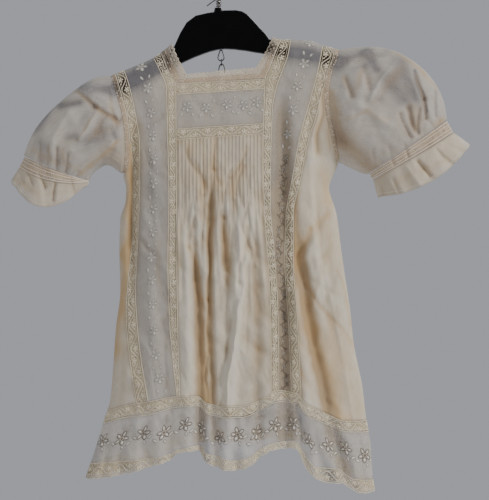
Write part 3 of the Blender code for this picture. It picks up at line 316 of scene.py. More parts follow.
# across and down of both ends, half width, rise
FRONT_CREASES = [
    (121, 280, 85, 331, 3.5, -2.4), (139, 322, 114, 388, 3.2, -1.6), (103, 335, 123, 410, 3.0, -1.3),
    (96, 350, 128, 372, 2.6, -1.2), (-61, 177, -84, 196, 3.0, -1.6), (-34, 217, -16, 254, 3.0, -1.0),
    (-28, 298, -31, 319, 2.6, -1.3), (-31, 319, -24, 355, 2.8, -1.9), (-24, 355, -21, 380, 2.6, -1.7),
    (-8, 288, -10, 377, 2.2, -2.2), (-10, 377, -13, 487, 2.2, -2.4), (6, 288, 10, 344, 2.4, -1.9),
    (10, 344, 9, 440, 2.6, -1.7), (32, 298, 20, 358, 2.4, -1.9), (20, 358, 12, 430, 2.4, -1.4),
    (-5, 199, -5, 234, 2.6, -1.6), (-5, 234, 1, 251, 3.2, -1.2), (32, 213, 15, 245, 2.2, -1.0),
    (-33, 214, -16, 248, 2.4, -1.0), (-22, 225, -14, 262, 2.0, -1.0), (116, 140, 106, 215, 2.2, -2.2),
    (124, 150, 120, 214, 2.0, -1.4), (111, 150, 101, 220, 2.0, 1.4),
    (-90, 190, -97, 320, 4.5, -4.2), (84, 262, 90, 480, 5.0, -3.0), (101, 297, 88, 327, 3.6, -2.0),
    (96, 360, 112, 384, 2.4, -1.8), (112, 384, 151, 429, 2.4, -1.6), (83, 334, 96, 360, 2.4, -1.6),
    (107, 303, 96, 330, 4.0, 1.6), (31, 328, 24, 377, 2.0, 2.4), (24, 377, 8, 487, 2.0, 2.8),
    (37, 290, 41, 340, 2.4, -1.4), (14, 400, 2, 470, 2.2, -1.8), (-60, 400, -56, 470, 2.6, -1.2),
    (124, 330, 101, 384, 2.6, 1.4), (128, 300, 108, 350, 2.4, -1.2),
    (-8, 262, -12, 290, 2.6, -1.4), (4, 262, 6, 288, 2.6, -1.4), (-23, 278, -31, 300, 2.6, -1.2),
    (-16, 262, -17, 296, 1.8, -1.6), (27, 232, 20, 262, 2.0, -1.4), (14, 236, 8, 262, 1.8, -1.4),
    (30, 272, 27, 318, 2.6, -1.4), (16, 268, 36, 330, 2.4, -1.2), (-119, 537, -127, 572, 3.0, -2.0),
    (-106, 540, -104, 566, 2.6, -1.8), (-19, 487, -19, 545, 2.6, -2.4), (0, 487, 2, 548, 3.0, -2.6),
    (86, 487, 92, 546, 3.0, -2.6), (-52, 492, -50, 548, 2.4, -1.6), (44, 486, 48, 536, 2.4, -1.6),
    (128, 508, 136, 570, 2.8, -2.0), (150, 512, 162, 578, 2.8, -2.0),
]
# the same for soft patches, with their strength: where the cloth has gone yellow, with painted
# shade in its folds, and painted shade where the sheer cloth lies over something dark
YELLOWING_AND_FOLD_SHADE = [
    (-5, 199, -5, 234, 4.2, 0.3), (-5, 234, 0, 251, 5.0, 0.2), (0, 251, -3, 286, 7.0, 0.3),
    (116, 140, 106, 215, 4.4, 0.6), (124, 150, 120, 214, 3.4, 0.4), (-40, 205, -28, 214, 6.0, 0.3),
    (26, 232, 14, 262, 4.0, 0.4), (-16, 250, -22, 290, 4.0, 0.4), (-42, 290, -42, 340, 4.0, 0.4),
    (-28, 298, -31, 319, 3.6, 0.3), (-31, 319, -21, 377, 4.0, 0.45), (-21, 377, -14, 495, 6.0, 0.5),
    (-8, 290, -10, 377, 4.0, 0.5), (-10, 377, -13, 487, 4.0, 0.5), (6, 290, 10, 344, 3.6, 0.45),
    (32, 213, 15, 245, 3.0, 0.2), (-33, 214, -16, 248, 3.4, 0.15), (32, 298, 20, 358, 3.6, 0.35),
    (82, 250, 85, 336, 6.5, 0.7), (124, 282, 101, 297, 3.0, 0.4), (101, 297, 84, 340, 4.0, 0.6),
    (83, 334, 96, 360, 3.0, 0.5), (96, 360, 112, 384, 3.0, 0.4), (112, 384, 151, 429, 3.0, 0.3),
    (116, 344, 101, 380, 2.0, 0.5), (92, 376, 102, 409, 8.0, 0.7), (101, 409, 134, 509, 8.0, 0.6),
    (88, 447, 101, 484, 2.2, 0.6), (114, 236, 122, 268, 8.0, 0.35), (130, 344, 148, 410, 2.2, 0.5),
    (-91, 190, -93, 240, 7.0, 1.2), (-93, 240, -99, 330, 6.5, 1.2), (-99, 330, -101, 366, 5.5, 0.6),
    (-22, 236, 25, 232, 34.0, 0.22), (118, 235, 116, 262, 12.0, 0.25),
    (112, 275, 122, 330, 16.0, 0.3), (-105, 335, -112, 430, 10.0, 0.55), (-110, 377, -128, 487, 8.0, 0.7),
    (112, 400, 140, 500, 24.0, 0.35),
    (63, 262, 75, 470, 14.0, 0.9), (-45, 200, -52, 210, 5.0, 0.5), (-64, 300, -68, 480, 3.0, 0.3),
    (122, 150, 133, 203, 5.5, 0.9), (134, 204, 168, 233, 10.0, 0.85), (135, 135, 145, 153, 3.0, 0.8),
    (156, 130, 149, 147, 3.0, 0.6), (139, 183, 159, 173, 3.0, 0.5), (159, 173, 182, 186, 3.0, 0.4),
    (205, 166, 215, 190, 4.0, 0.9), (195, 107, 226, 130, 2.4, 0.9), (226, 130, 238, 146, 2.2, 0.6),
    (246, 178, 234, 187, 2.6, 0.8), (172, 234, 229, 208, 3.0, 0.6), (229, 208, 244, 182, 3.0, 0.6),
    (-154, 148, -131, 169, 1.9, 1.0), (-131, 169, -108, 186, 1.9, 1.0), (-127, 175, -138, 185, 1.8, 0.7),
    (-138, 185, -151, 204, 1.8, 0.8), (-182, 212, -179, 226, 2.0, 0.7), (-167, 214, -167, 224, 2.0, 0.6),
    (-108, 202, -138, 231, 2.4, 1.0), (-138, 231, -151, 242, 2.4, 0.9), (-118, 216, -110, 226, 9.0, 0.5),
    (-202, 214, -146, 240, 2.6, 0.5), (-120, 150, -112, 185, 2.6, 0.5), (-230, 240, -190, 268, 4.0, 0.4),
    (195, 248, 250, 224, 3.0, 0.4), (-130, 560, -60, 548, 4.0, 0.4), (100, 545, 140, 570, 5.0, 0.4),
]
# painted shade patches, where the sheer cloth lies over something dark
PAINTED_SHADE_PATCHES = [
    (-58, 116, -106, 143, 13.0, 1.2), (60, 103, 128, 118, 11.0, 1.2), (162, 109, 171, 127, 6.0, 1.2),
    (134, 116, 166, 106, 5.0, 0.9), (195, 118, 213, 158, 10.0, 0.9), (182, 137, 196, 160, 8.0, 0.8),
    (172, 112, 186, 104, 4.0, 0.5), (148, 128, 160, 124, 4.0, 0.5),
    (214, 129, 220, 153, 2.4, 1.2), (220, 153, 226, 173, 2.0, 1.1), (205, 170, 213, 186, 3.0, 0.5),
    (-146, 145, -118, 149, 7.5, 1.1), (-171, 166, -150, 163, 5.5, 1.0), (-140, 205, -128, 198, 9.0, 0.8),
    (-150, 190, -138, 176, 4.0, 0.5), (-196, 190, -186, 176, 6.0, 0.4),
    (-113, 195, -111, 198, 4.0, 0.8), (-160, 201, -153, 199, 4.0, 0.6), (-194, 206, -188, 212, 6.0, 0.5),
    (-180, 163, -202, 196, 3.0, 0.5), (-178, 222, -166, 228, 5.0, 0.3), (236, 150, 238, 176, 1.8, 0.6),
    (-82, 145, -74, 190, 8.0, 0.35), (-70, 230, -68, 260, 6.0, 0.3), (-76, 330, -70, 370, 7.0, 0.35),
    (76, 140, 70, 200, 5.0, 0.4), (-130, 532, -142, 575, 6.0, 0.5), (-14, 505, -10, 565, 4.0, 0.7),
    (92, 505, 124, 570, 7.0, 0.8), (140, 530, 150, 585, 4.0, 0.6), (-60, 505, -58, 545, 5.0, 0.3),
    (60, 500, 70, 530, 6.0, 0.4), (30, 510, 28, 545, 4.0, 0.3), (-100, 520, -98, 560, 4.0, 0.4),
]
# how strongly the cloth is crumpled, by share of the way from the shoulder to the hem lace
CRUSHED = [(0, 0.5), (0.2, 0.45), (0.34, 0.4), (0.5, 0.8), (1.0, 1.0), (1.25, 1.0)]
INNER_LACE_LEFT = [(95, -67), (107, -62), (127, -54), (141, -46), (225, -45.3), (322, -44.5),
                   (421, -43), (500, -40), (600, -38)]
INNER_LACE_RIGHT = [(88, 70), (94, 67), (111, 60), (123, 55.5), (136, 50.4), (225, 48.2),
                    (289, 50.5), (355, 55), (421, 57), (600, 57)]
UNDERARM_SHARE = 0.304
ARMHOLE_DEPTH = 18.0
ROLL = 14.0
LARGE_FOLD_FADE = 45.0
FINE_FOLD_FADE = 18.0
LARGE_FRONT_FOLDS = 12
LARGE_BACK_FOLDS = 4
# how far down each line of the yoke is, at its left and its right end
YOKE_LINES = {"upper": (141.2, 135.8), "band_top": (153.5, 147.0), "band_low": (190.5, 184.5),
              "lower": (203.0, 196.5)}
TUCKS = 24
TUCK_RISE = 0.95
TUCK_END = 279
CLOTH = 0.35


def read(table, at, column=1):
    """Smooth reading of a table whose first column rises, for a whole array."""
    data = np.array(table, float)
    x, y = data[:, 0], data[:, column]
    step = np.diff(x)
    slope = np.diff(y) / step
    product = slope[:-1] * slope[1:]
    total = slope[:-1] + slope[1:]
    inner = np.where(product > 0, 2 * product / np.where(total == 0, 1, total), 0.0)
    lean = np.concatenate(([slope[0]], inner, [slope[-1]]))
    at = np.clip(np.asarray(at, float), x[0], x[-1])
    place = np.clip(np.searchsorted(x, at, side="left") - 1, 0, len(step) - 1)
    part = (at - x[place]) / step[place]
    rest = 1 - part
    return (y[place] * rest ** 2 * (1 + 2 * part) + y[place + 1] * part ** 2 * (3 - 2 * part)
            + step[place] * part * rest * (lean[place] * rest - lean[place + 1] * part))


def ripple(a, b, size, seed, count=9):
    """Soft uneven waves of about the given size, between -1 and 1."""
    draw = np.random.default_rng(seed)
    total = np.zeros(np.broadcast(a, b).shape)
    for _ in range(count):
        angle, phase = draw.uniform(0, math.tau, 2)
        wave = math.tau / (size * draw.uniform(0.7, 1.8))
        total = total + np.sin(wave * (a * math.cos(angle) + b * math.sin(angle)) + phase)
    return total / count ** 0.5 / 1.6


def crumple(across, down, seed, lean=math.pi):
    """Sharp bends between flat facets, as in cotton that lay crushed before it was hung up.
    The bends run down the cloth, or up to lean radians away from that."""
    draw = np.random.default_rng(seed)
    total = np.zeros(np.broadcast(across, down).shape)
    for size, rise in ((46, 2.6), (38, 2.2), (27, 1.7), (21, 1.3), (15, 0.9), (11, 0.6)):
        angle, phase = draw.uniform(-lean, lean), draw.uniform(0, 1)
        number = int(draw.integers(1000))
        line = (across * math.cos(angle) + down * math.sin(angle)) / size + phase
        line = line + 0.5 * ripple(across, down, 3.2 * size, number, 5)
        facets = 2 * np.abs(line % 1 - 0.5) - 0.5
        strength = np.clip(0.45 + 1.1 * ripple(across, down, 2.6 * size, number + 1, 5), 0, 1)
        total = total + rise * strength * facets
    return total


def crease_rise(creases, across, down, power=1.4):
    """Short creases, not quite straight, between two places."""
    across, down = np.broadcast_arrays(across, down)
    total = np.zeros(across.shape)
    across, down = across + 2.2 * ripple(across, down, 45, 70), down + 2.2 * ripple(across, down, 45, 71)
    for start_across, start_down, end_across, end_down, half, rise in creases:
        run_across, run_down = end_across - start_across, end_down - start_down
        part = ((across - start_across) * run_across + (down - start_down) * run_down)
        part = np.clip(part / (run_across ** 2 + run_down ** 2), 0, 1)
        away = np.hypot(across - start_across - part * run_across, down - start_down - part * run_down)
        total = total + rise * np.exp(-(away / half) ** power)
    return total


def patches(table, points):
    """How far each point lies in the soft patches of a table.  The back has them further over
    and fainter."""
    back = np.clip(points[:, 1] / (8 * MM), 0, 1)
    total = crease_rise(table, points[:, 0] / MM + 9 * back, 9 * back - points[:, 2] / MM, 2.2)
    return np.clip(total, 0, 1.2) * (1 - 0.6 * back)


def fold_rise(folds, large, across, down):
    total = np.zeros(np.broadcast(across, down).shape)
    for number, row in enumerate(folds):
        top_across, top_down, mid_across, mid_down, low_across, low_down, half, rise = row
        fade = LARGE_FOLD_FADE if number < large else FINE_FOLD_FADE
        path = [(top_down, top_across), (mid_down, mid_across), (low_down, low_across)]
        strength = np.clip((down - top_down) / fade, 0, 1) * np.clip((low_down - down) / fade, 0, 1)
        away = (across - read(path, down)) / half
        if number >= large:
            away = np.where(away < 0, 1.7 * away, 0.8 * away)
        total = total + rise * strength * np.exp(-np.abs(away) ** (2 if number < large else 1.3))
    return total


def armhole_depth(share):
    return ARMHOLE_DEPTH * np.sqrt(np.clip(1 - (1 - 2 * share / UNDERARM_SHARE) ** 2, 0, 1))


def hem_line(number, front, across):
    """How far down a line of the hem is: 0 is the top of its lace, 3 the lowest edge."""
    return np.where(front, read(FRONT_LINES[number], across), read(BACK_LINES[number], across))


def level(front, across, share):
    """How far down a share of the way from the shoulder to the hem lace is."""
    top = read(CREST, across)
    return top + share * (hem_line(0, front, across) - top)


def hang(front, across, down, lift=0.0):
    """Where a point of the dress hangs, in metres, and how deep in a fold it lies."""
    front, across, down, lift = np.broadcast_arrays(front, across, down, lift)
    top = read(CREST, across)
    low = hem_line(0, front, across)
    share = np.where(down < low, (down - top) / (low - top), 1 + (down - low) / 400)
    left, right = read(SIDE_LEFT, down), read(SIDE_RIGHT, down)
    place = np.clip(np.abs(across - (left + right) / 2) / ((right - left) / 2), 0, 1)
    full = np.where(front, read(FULLNESS, share, 1), read(FULLNESS, share, 2))
    turn = np.clip((down - top) / ROLL, 0, 1)
    full = full * np.sqrt(np.clip(1 - (1 - turn) ** 2, 0, 1))
    side = place ** 2.4
    arm = armhole_depth(np.clip(share, 0, UNDERARM_SHARE))
    depth = np.sqrt(arm ** 2 * side + full ** 2 * (1 - side))
    folds = np.where(front, fold_rise(FRONT_FOLDS, LARGE_FRONT_FOLDS, across, down),
                     fold_rise(BACK_FOLDS, LARGE_BACK_FOLDS, across, down))
    folds = folds + np.where(front, crease_rise(FRONT_CREASES, across, down), 0.0)
    crushed = np.where(front, crumple(across, down, 12, 0.7), crumple(across, down, 23, 0.8))
    folds = folds + crushed * np.clip((down - top) / 40, 0, 1) * read(CRUSHED, share)
    flat = 1 - place ** 8
    depth = np.maximum(depth + (folds + lift) * flat, 0.0)
    points = np.stack([across, np.where(front, -depth, depth), -down], -1) * MM
    # the fold depth goes on as painted shade in the troughs and a painted highlight on the ridges, half as
    # strong on the back
    return points, -folds * flat * np.where(front, 1.0, 0.5)


def spots(front, first, last, part, share, first_in=0.0, last_in=0.0):
    """Across and down between two seam lines, a share of the way down."""
    part, share, front, first_in, last_in = np.broadcast_arrays(part, share, front, first_in, last_in)
    down = np.full(part.shape, 300.0)
    for _ in range(8):
        across = (1 - part) * (first(down) + first_in) + part * (last(down) - last_in)
        down = level(front, across, share)
    return across, down


def seam(table):
    return lambda down: read(table, down)


def seam_spots(front, table, share):
    """Across and down on one seam line."""
    return spots(front, seam(table), seam(table), 0.0, share)


def both_sides(side, points, tone):
    """A grid made for the left, with its columns turned round where it is the right one."""
    return (points[:, ::-1], tone[:, ::-1]) if side == "right" else (points, tone)


class Cloth:
    """A piece of cloth as a fine grid, so that trims can be laid on it.
    It runs down its rows, and is measured in millimetres along and across its middle."""

    def __init__(self, points, tone):
        self.points = points
        self.tone = tone
        self.rows, self.columns = points.shape[:2]
        slope_down, slope_side = np.gradient(points, axis=0), np.gradient(points, axis=1)
        normals = np.cross(slope_down, slope_side)
        self.normals = normals / np.maximum(np.linalg.norm(normals, axis=2, keepdims=True), 1e-12)
        down = np.linalg.norm(np.diff(points, axis=0), axis=2) / MM
        side = np.linalg.norm(np.diff(points, axis=1), axis=2) / MM
        self.run = np.concatenate([[0], np.cumsum(down.mean(1))])
        self.length = self.run[-1]
        self.width = side.sum(1)
        self.side = np.concatenate([np.zeros((self.rows, 1)), np.cumsum(side, 1)], 1)
        self.side -= self.side[:, -1:] / 2
        self.closed = np.allclose(points[:, 0], points[:, -1])

    def turned(self):
        """The same cloth with its rows and columns changed over."""
        other = Cloth(self.points.transpose(1, 0, 2), self.tone.T)
        other.normals = -other.normals
        return other

    def at(self, run, side, rise):
        row = np.clip(np.interp(run, self.run, np.arange(self.rows)), 0, self.rows - 1.001)
        part = np.clip(0.5 + side / np.interp(run, self.run, self.width), 0, 1)
        column = np.clip(part * (self.columns - 1), 0, self.columns - 1.001)
        i, j = row.astype(int), column.astype(int)
        a, b = (row - i)[..., None], (column - j)[..., None]

        def between(grid):
            return ((1 - a) * ((1 - b) * grid[i, j] + b * grid[i, j + 1])
                    + a * ((1 - b) * grid[i + 1, j] + b * grid[i + 1, j + 1]))

        return between(self.points) + between(self.normals) * (np.asarray(rise)[..., None] * MM)

    def faces(self, start):
        numbers = np.arange(self.rows * self.columns).reshape(self.rows, self.columns) + start
        quads = np.stack([numbers[:-1, :-1], numbers[1:, :-1], numbers[1:, 1:], numbers[:-1, 1:]], -1)
        return quads.reshape(-1, 4)

    def weave(self):
        """Millimetres across and down the cloth, and from its nearest edge."""
        run = np.repeat(self.run[:, None], self.columns, 1)
        edge = np.minimum(run, self.length - run)
        if not self.closed:
            edge = np.minimum(edge, self.width[:, None] / 2 - np.abs(self.side))
        return np.stack([self.side, run, edge], -1)


def smooth_object(name, points, faces, finish):
    mesh = bpy.data.meshes.new(name)
    mesh.from_pydata(points.tolist(), [], faces)
    mesh.polygons.foreach_set("use_smooth", np.ones(len(mesh.polygons), bool))
    mesh.materials.append(finish.material)
    made = bpy.data.objects.new(name, mesh)
    bpy.context.scene.collection.objects.link(made)
    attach(made, "root")
    return made


def shell(name, cloths, finish, nodes, area, thick=CLOTH):
    """The given grids as one shell of cloth, welded where they touch, in place of its solids."""
    starts = np.cumsum([0] + [cloth.rows * cloth.columns for cloth in cloths])
    points = np.concatenate([cloth.points.reshape(-1, 3) for cloth in cloths])
    faces = np.concatenate([cloth.faces(start) for cloth, start in zip(cloths, starts)])
    piece = smooth_object(name, points, faces.tolist(), finish)
    tone = np.concatenate([cloth.tone.reshape(-1) for cloth in cloths])
    weave = np.concatenate([cloth.weave().reshape(-1) for cloth in cloths])
    marks = np.stack([patches(YELLOWING_AND_FOLD_SHADE, points), patches(PAINTED_SHADE_PATCHES, points), points[:, 0] * 0], 1)
    for label, kind, field, values in (("painted_fold_shade_and_highlight", "FLOAT", "value", tone),
                                       ("weave_mm", "FLOAT_VECTOR", "vector", weave),
                                       ("patches", "FLOAT_VECTOR", "vector", marks.reshape(-1))):
        data = piece.data.attributes.new(label, kind, "POINT").data
        data.foreach_set(field, values.astype(np.float32))
    weld = piece.modifiers.new("weld", "WELD")
    weld.merge_threshold = 0.02 * MM
    wall = piece.modifiers.new("cloth_thickness", "SOLIDIFY")
    wall.thickness = thick * MM
    wall.offset = -1
    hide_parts(*nodes)


def tinted(colour, *parts):
    """A colour with its red, green and blue changed by one share, or by a share each."""
    return tuple(min(1, value * part) for value, part in zip(colour, parts * (3 // len(parts))))


def lawn(name, fresh, worn, deep, opacity, yellow=0.6):
    """Fine cotton: a plain weave of uneven threads, gone yellow along its seams and in patches, with painted
    shade in its folds and where something dark lies behind, and a painted highlight on its ridges.
    """
    finish = Finish(name, 0.85, Sheen_Weight=0.15, Sheen_Roughness=0.5, Specular_IOR_Level=0.2)
    grain = finish.attribute("weave_mm")
    tone = finish.attribute("painted_fold_shade_and_highlight", "Fac")
    across, down, edge = (finish.part(grain, number) for number in range(3))
    uneven = finish.noise(420, 2)
    warp = (across * 9.0 + uneven * 1.5).math("SINE")
    weft = (down * 9.0 + uneven * 1.5).math("SINE")
    slub = finish.streaks(grain, (1.6, 0.12, 0.0), 2)
    streak = finish.streaks(grain, (0.11, 0.022, 0.0), 4)
    cloud = finish.noise(17, 5, 0.62)
    specks = finish.noise(90, 5, 0.65)
    marks = finish.attribute("patches")
    uneven_patch = cloud * 0.8 + streak * 0.8
    # partly yellowing and partly painted shade in the folds, made uneven
    yellowing_and_fold_shade = finish.part(marks, 0) * (uneven_patch + 0.15)
    # painted shade where something dark lies behind the cloth, made uneven
    painted_dark_shade = finish.part(marks, 1) * (uneven_patch + 0.2)
    shade = tinted(worn, 0.84)
    stain = cloud.above(0.5, 0.16) * 0.6 + streak.above(0.52, 0.14) * 0.5
    base = finish.mix(stain * yellow, fresh, worn)
    base = finish.mix(specks.above(0.58, 0.12) * 0.45 * yellow, base, shade)
    base = finish.mix((1.0 - edge.above(2.2, 2.2)) * 0.7 * yellow, base, shade)
    base = finish.mix(slub.above(0.64, 0.1) * 0.18, base, tinted(fresh, 1.15))
    # tan where the cloth has gone yellow and as painted shade in its folds
    base = finish.mix(yellowing_and_fold_shade, base, tinted(worn, 0.88, 0.77, 0.63))
    # grey painted shade where something dark lies behind
    base = finish.mix(painted_dark_shade * 0.95, base, tinted(fresh, 0.36, 0.36, 0.4))
    # painted shade: the deep colour in the troughs of the folds, and below a paler painted highlight on their
    # ridges
    base = finish.mix(tone.above(2.4, 2.4) * 0.8, base, deep)
    finish.feed("Base Color", finish.mix((0.0 - tone).above(1.2, 1.2) * 0.45, base, tinted(fresh, 1.16)))
    finish.feed("Alpha", (cloud - 0.5) * 0.35 + (slub - 0.5) * 0.25 + yellowing_and_fold_shade * 0.16 + painted_dark_shade * 0.14 + opacity)
    small = finish.noise(210, 4, 0.6)
    finish.feed("Normal", finish.bump(warp * 0.1 + weft * 0.1 + slub * 0.25 + small, 0.0006, 0.55))
    return finish


# the third colour of each lawn is its painted shade deep in the folds
cream_lawn = lawn("cream_cotton_lawn", (0.80, 0.745, 0.63), (0.72, 0.575, 0.37), (0.46, 0.31, 0.16), 0.86)

# each tuck across its share of the panel, and how far it stands up
tuck_shape = [(0.0, 0.0), (0.45, 0.0), (0.62, 0.25), (0.80, 1.0), (0.86, 0.85), (0.93, 0.1)]
tuck_parts = np.array([(number + share) / TUCKS for number in range(TUCKS)
                       for share, _ in tuck_shape] + [1.0])
tuck_rise = np.array([rise for _ in range(TUCKS) for _, rise in tuck_shape] + [0.0])
tuck_draw = np.random.default_rng(5).uniform(-9, 9, TUCKS + 1)
tuck_end = TUCK_END + np.repeat(tuck_draw, len(tuck_shape))[:len(tuck_parts)]


def yoke_line(name, part):
    left_down, right_down = YOKE_LINES[name]
    left, right = read(INNER_LACE_LEFT, left_down), read(INNER_LACE_RIGHT, right_down)
    return left + part * (right - left), left_down + part * (right_down - left_down)


steps = np.concatenate([np.linspace(0, 0.3, 60), np.linspace(0.3, 1, 110)[1:]])[:, None]
lower_down = yoke_line("lower", tuck_parts)[1]
hem_down = spots(True, seam(INNER_LACE_LEFT), seam(INNER_LACE_RIGHT), tuck_parts, 1.0)[1]
down = lower_down + steps * (hem_down - lower_down)
across = (1 - tuck_parts) * read(INNER_LACE_LEFT, down) + tuck_parts * read(INNER_LACE_RIGHT, down)
held = np.clip((tuck_end - down) / 10, 0, 1)
loose = np.clip((down - tuck_end) / 12, 0, 1) * np.clip((400 - down) / 110, 0, 1)
gathers = 0.7 * np.sin(tuck_parts * math.tau * 13 + 1.2 * np.sin(down / 38)) * loose
points, tone = hang(True, across, down, TUCK_RISE * tuck_rise * held + gathers)
# painted shade along the fold of each tuck, and painted shade and highlight on the troughs and crests of the
# gathers
tone = tone + 2.8 * held * (tuck_parts * TUCKS % 1 > 0.9) - 0.8 * gathers
shell("centre_front_tucked", [Cloth(points, tone)], cream_lawn, ["centre_front"],
      area=0.040)


# The bands of embroidered lawn: a cooler white and more sheer than the cream cloth, with
# small sprigs in white satin stitch.  Two run from the hem lace up over the shoulders and
# a short one crosses the yoke.
BAND_LEFT_OUTER = [
    (118, -108), (127, -102.5), (146, -96), (179, -89), (207, -85.5), (267, -86), (322, -88),
    (366, -90), (399, -88), (443, -83), (500, -74), (600, -72),
]
BAND_LEFT_INNER = [
    (104, -76), (111, -72), (127, -64), (146, -57), (201, -55.5), (267, -54), (333, -55),
    (399, -53), (443, -49), (500, -43), (600, -40),
]
BAND_RIGHT_INNER = [
    (85, 83), (92, 80), (111, 76), (130, 69), (146, 63.5), (168, 59.5), (223, 57.5), (273, 57),
    (322, 61), (388, 65), (477, 66), (600, 66),
]
BAND_RIGHT_OUTER = [
    (90, 118), (98, 114), (113, 111), (135, 106), (157, 100), (201, 88), (245, 80), (284, 73.5),
    (333, 72), (399, 76), (483, 79), (600, 80),
]
BACK_SHOULDER_SHARE = 0.0356


def even(count):
    return np.linspace(0, 1, count + 1)


def shoulder_shares(back, rows):
    """Shares down from the crest, close together over its curve; behind it they are negative."""
    over = np.linspace(-math.sqrt(back), 0, 7)[:-1]
    near = np.linspace(0, math.sqrt(0.06), 12)
    return np.concatenate([-over ** 2, near ** 2, np.linspace(0.06, 1, rows)[1:]])


def shoulder_strip(first, last, columns, rows):
    share = shoulder_shares(BACK_SHOULDER_SHARE, rows)[:, None]
    across, down = spots(share >= 0, first, last, even(columns), np.abs(share))
    return Cloth(*hang(share >= 0, across, down))


def yoke_strip(upper, lower, rows, columns):
    top_across, top_down = yoke_line(upper, even(columns))
    low_across, low_down = yoke_line(lower, even(columns))
    share = even(rows)[:, None]
    across = top_across + share * (low_across - top_across)
    down = top_down + share * (low_down - top_down)
    return Cloth(*hang(True, across, down))


def petal_line(run, side, length, width, turn, count=10, share=1.0):
    """The outline of a petal or leaf, pointed at both ends."""
    angle = np.arange(count) / count * math.tau
    x = np.cos(angle) * length / 2 * share
    y = np.sin(angle) * (0.6 + 0.4 * np.sin(angle) ** 2) * width / 2 * share
    return np.stack([run + x * math.cos(turn) - y * math.sin(turn),
                     side + x * math.sin(turn) + y * math.cos(turn)], 1)


class Stitches:
    """Threads and fillings sewn on a cloth, gathered into one mesh."""

    def __init__(self):
        self.points, self.faces, self.count = [], [], 0

    def add(self, points, faces):
        self.points.append(points)
        self.faces += [tuple(number + self.count for number in face) for face in faces]
        self.count += len(points)

    def cord(self, cloth, path, half, rise, closed=False):
        """A flat cord along a path of (run, side) places."""
        path = np.asarray(path, float)
        half = np.broadcast_to(half, len(path)).astype(float)
        if closed:
            way = np.roll(path, -1, 0) - np.roll(path, 1, 0)
        else:
            way = np.gradient(path, axis=0)
        way = way / np.maximum(np.linalg.norm(way, axis=1, keepdims=True), 1e-9)
        over = np.stack([-way[:, 1], way[:, 0]], 1) * half[:, None]
        rows = [cloth.at(*(path + over).T, 0.0), cloth.at(*path.T, rise),
                cloth.at(*(path - over).T, 0.0), cloth.at(*path.T, -0.12)]
        points = np.stack(rows, 1).reshape(-1, 3)
        total = len(path)
        faces = []
        for i in range(total if closed else total - 1):
            a, b = 4 * i, 4 * ((i + 1) % total)
            faces += [(a + k, b + k, b + (k + 1) % 4, a + (k + 1) % 4) for k in range(4)]
        if not closed:
            end = 4 * (total - 1)
            faces += [(0, 1, 2, 3), (end + 3, end + 2, end + 1, end)]
        self.add(points, faces)

    def filling(self, cloth, run, side, length, width, turn, rise, points_round=10):
        """A padded petal or leaf, pointed at both ends."""
        outer = petal_line(run, side, length, width, turn, points_round)
        inner = petal_line(run, side, length, width, turn, points_round, 0.6)
        rows = [cloth.at(*outer.T, -0.1), cloth.at(*outer.T, 0.05), cloth.at(*inner.T, rise),
                cloth.at(np.array([run]), np.array([side]), rise * 1.15)]
        n = points_round
        faces = [tuple(range(n))[::-1]]
        for ring in range(2):
            for i in range(n):
                a, b = ring * n + i, ring * n + (i + 1) % n
                faces.append((a, b, b + n, a + n))
        faces += [(2 * n + i, 2 * n + (i + 1) % n, 3 * n) for i in range(n)]
        self.add(np.concatenate(rows), faces)

    def piece(self, name, finish, node, slot):
        made = smooth_object(name, np.concatenate(self.points), self.faces, finish)
        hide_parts(node)


def thread(name, light, dark, roughness=0.6):
    """Cotton thread: fine twisted strands, with painted shade between them."""
    finish = Finish(name, roughness, Sheen_Weight=0.15, Specular_IOR_Level=0.3)
    strands = finish.node("TexWave", {"wave_type": "BANDS", "bands_direction": "DIAGONAL"},
                          {"Vector": finish.place(), "Scale": 900.0, "Distortion": 2.0, "Detail": 1.0}, "Fac")
    cloud = finish.noise(60, 3)
    finish.feed("Base Color", finish.mix((1.0 - strands) * 0.35 + cloud.above(0.6, 0.15) * 0.3, light, dark))
    finish.feed("Normal", finish.bump(strands, 0.00005, 0.6))
    return finish


def leaf(white, grey, cloth, run, side, turn, length, width):
    # the grey outline paints the shade round the leaf
    grey.cord(cloth, petal_line(run, side, length + 0.8, width + 0.9, turn, 8), 0.24, 0.14, True)
    white.filling(cloth, run, side, length, width * 0.8, turn, 0.3, 8)


def flower(white, grey, cloth, run, side, turn, size, filled=1.0):
    """A star of five outlined petals round an open centre; the first petal is padded. The outlines and the
    filled centre, in the second thread, are painted shade of the holes.
    """
    for number in range(5):
        angle = turn + number * math.tau / 5
        length, width = (3.9, 2.9) if number == 0 else (4.4, 2.2)
        reach = (1.6 + length / 2) * size
        place = (run + reach * math.cos(angle), side + reach * math.sin(angle))
        outline = petal_line(*place, (length + 0.6) * size, (width + 0.8) * size, angle)
        grey.cord(cloth, outline, 0.42 * size, 0.2, True)
        fill, rise = (filled, 0.5) if number == 0 else (0.66 * filled, 0.32)
        white.filling(cloth, *place, length * size * filled, width * size * fill, angle, rise)
    grey.filling(cloth, run, side, 2.3 * size, 2.5 * size, turn, 0.15, 8)
    ring = petal_line(run, side, 3.0 * size, 3.2 * size, turn, 8)
    white.cord(cloth, ring, 0.24 * size, 0.36, True)


# the third colour is painted shade deep in the folds
sheer_lawn = lawn("sheer_white_lawn", (0.77, 0.735, 0.68), (0.66, 0.59, 0.49), (0.50, 0.41, 0.30), 0.38, 0.7)
satin = thread("white_satin_thread", (0.86, 0.83, 0.76), (0.66, 0.61, 0.53))
# the grey thread paints the shade in the open holes of the embroidery: the outlines and open centres of the
# sprigs
painted_hole_shade = thread("grey_painted_hole_shade_thread", (0.42, 0.39, 0.34), (0.29, 0.265, 0.23), 0.85)
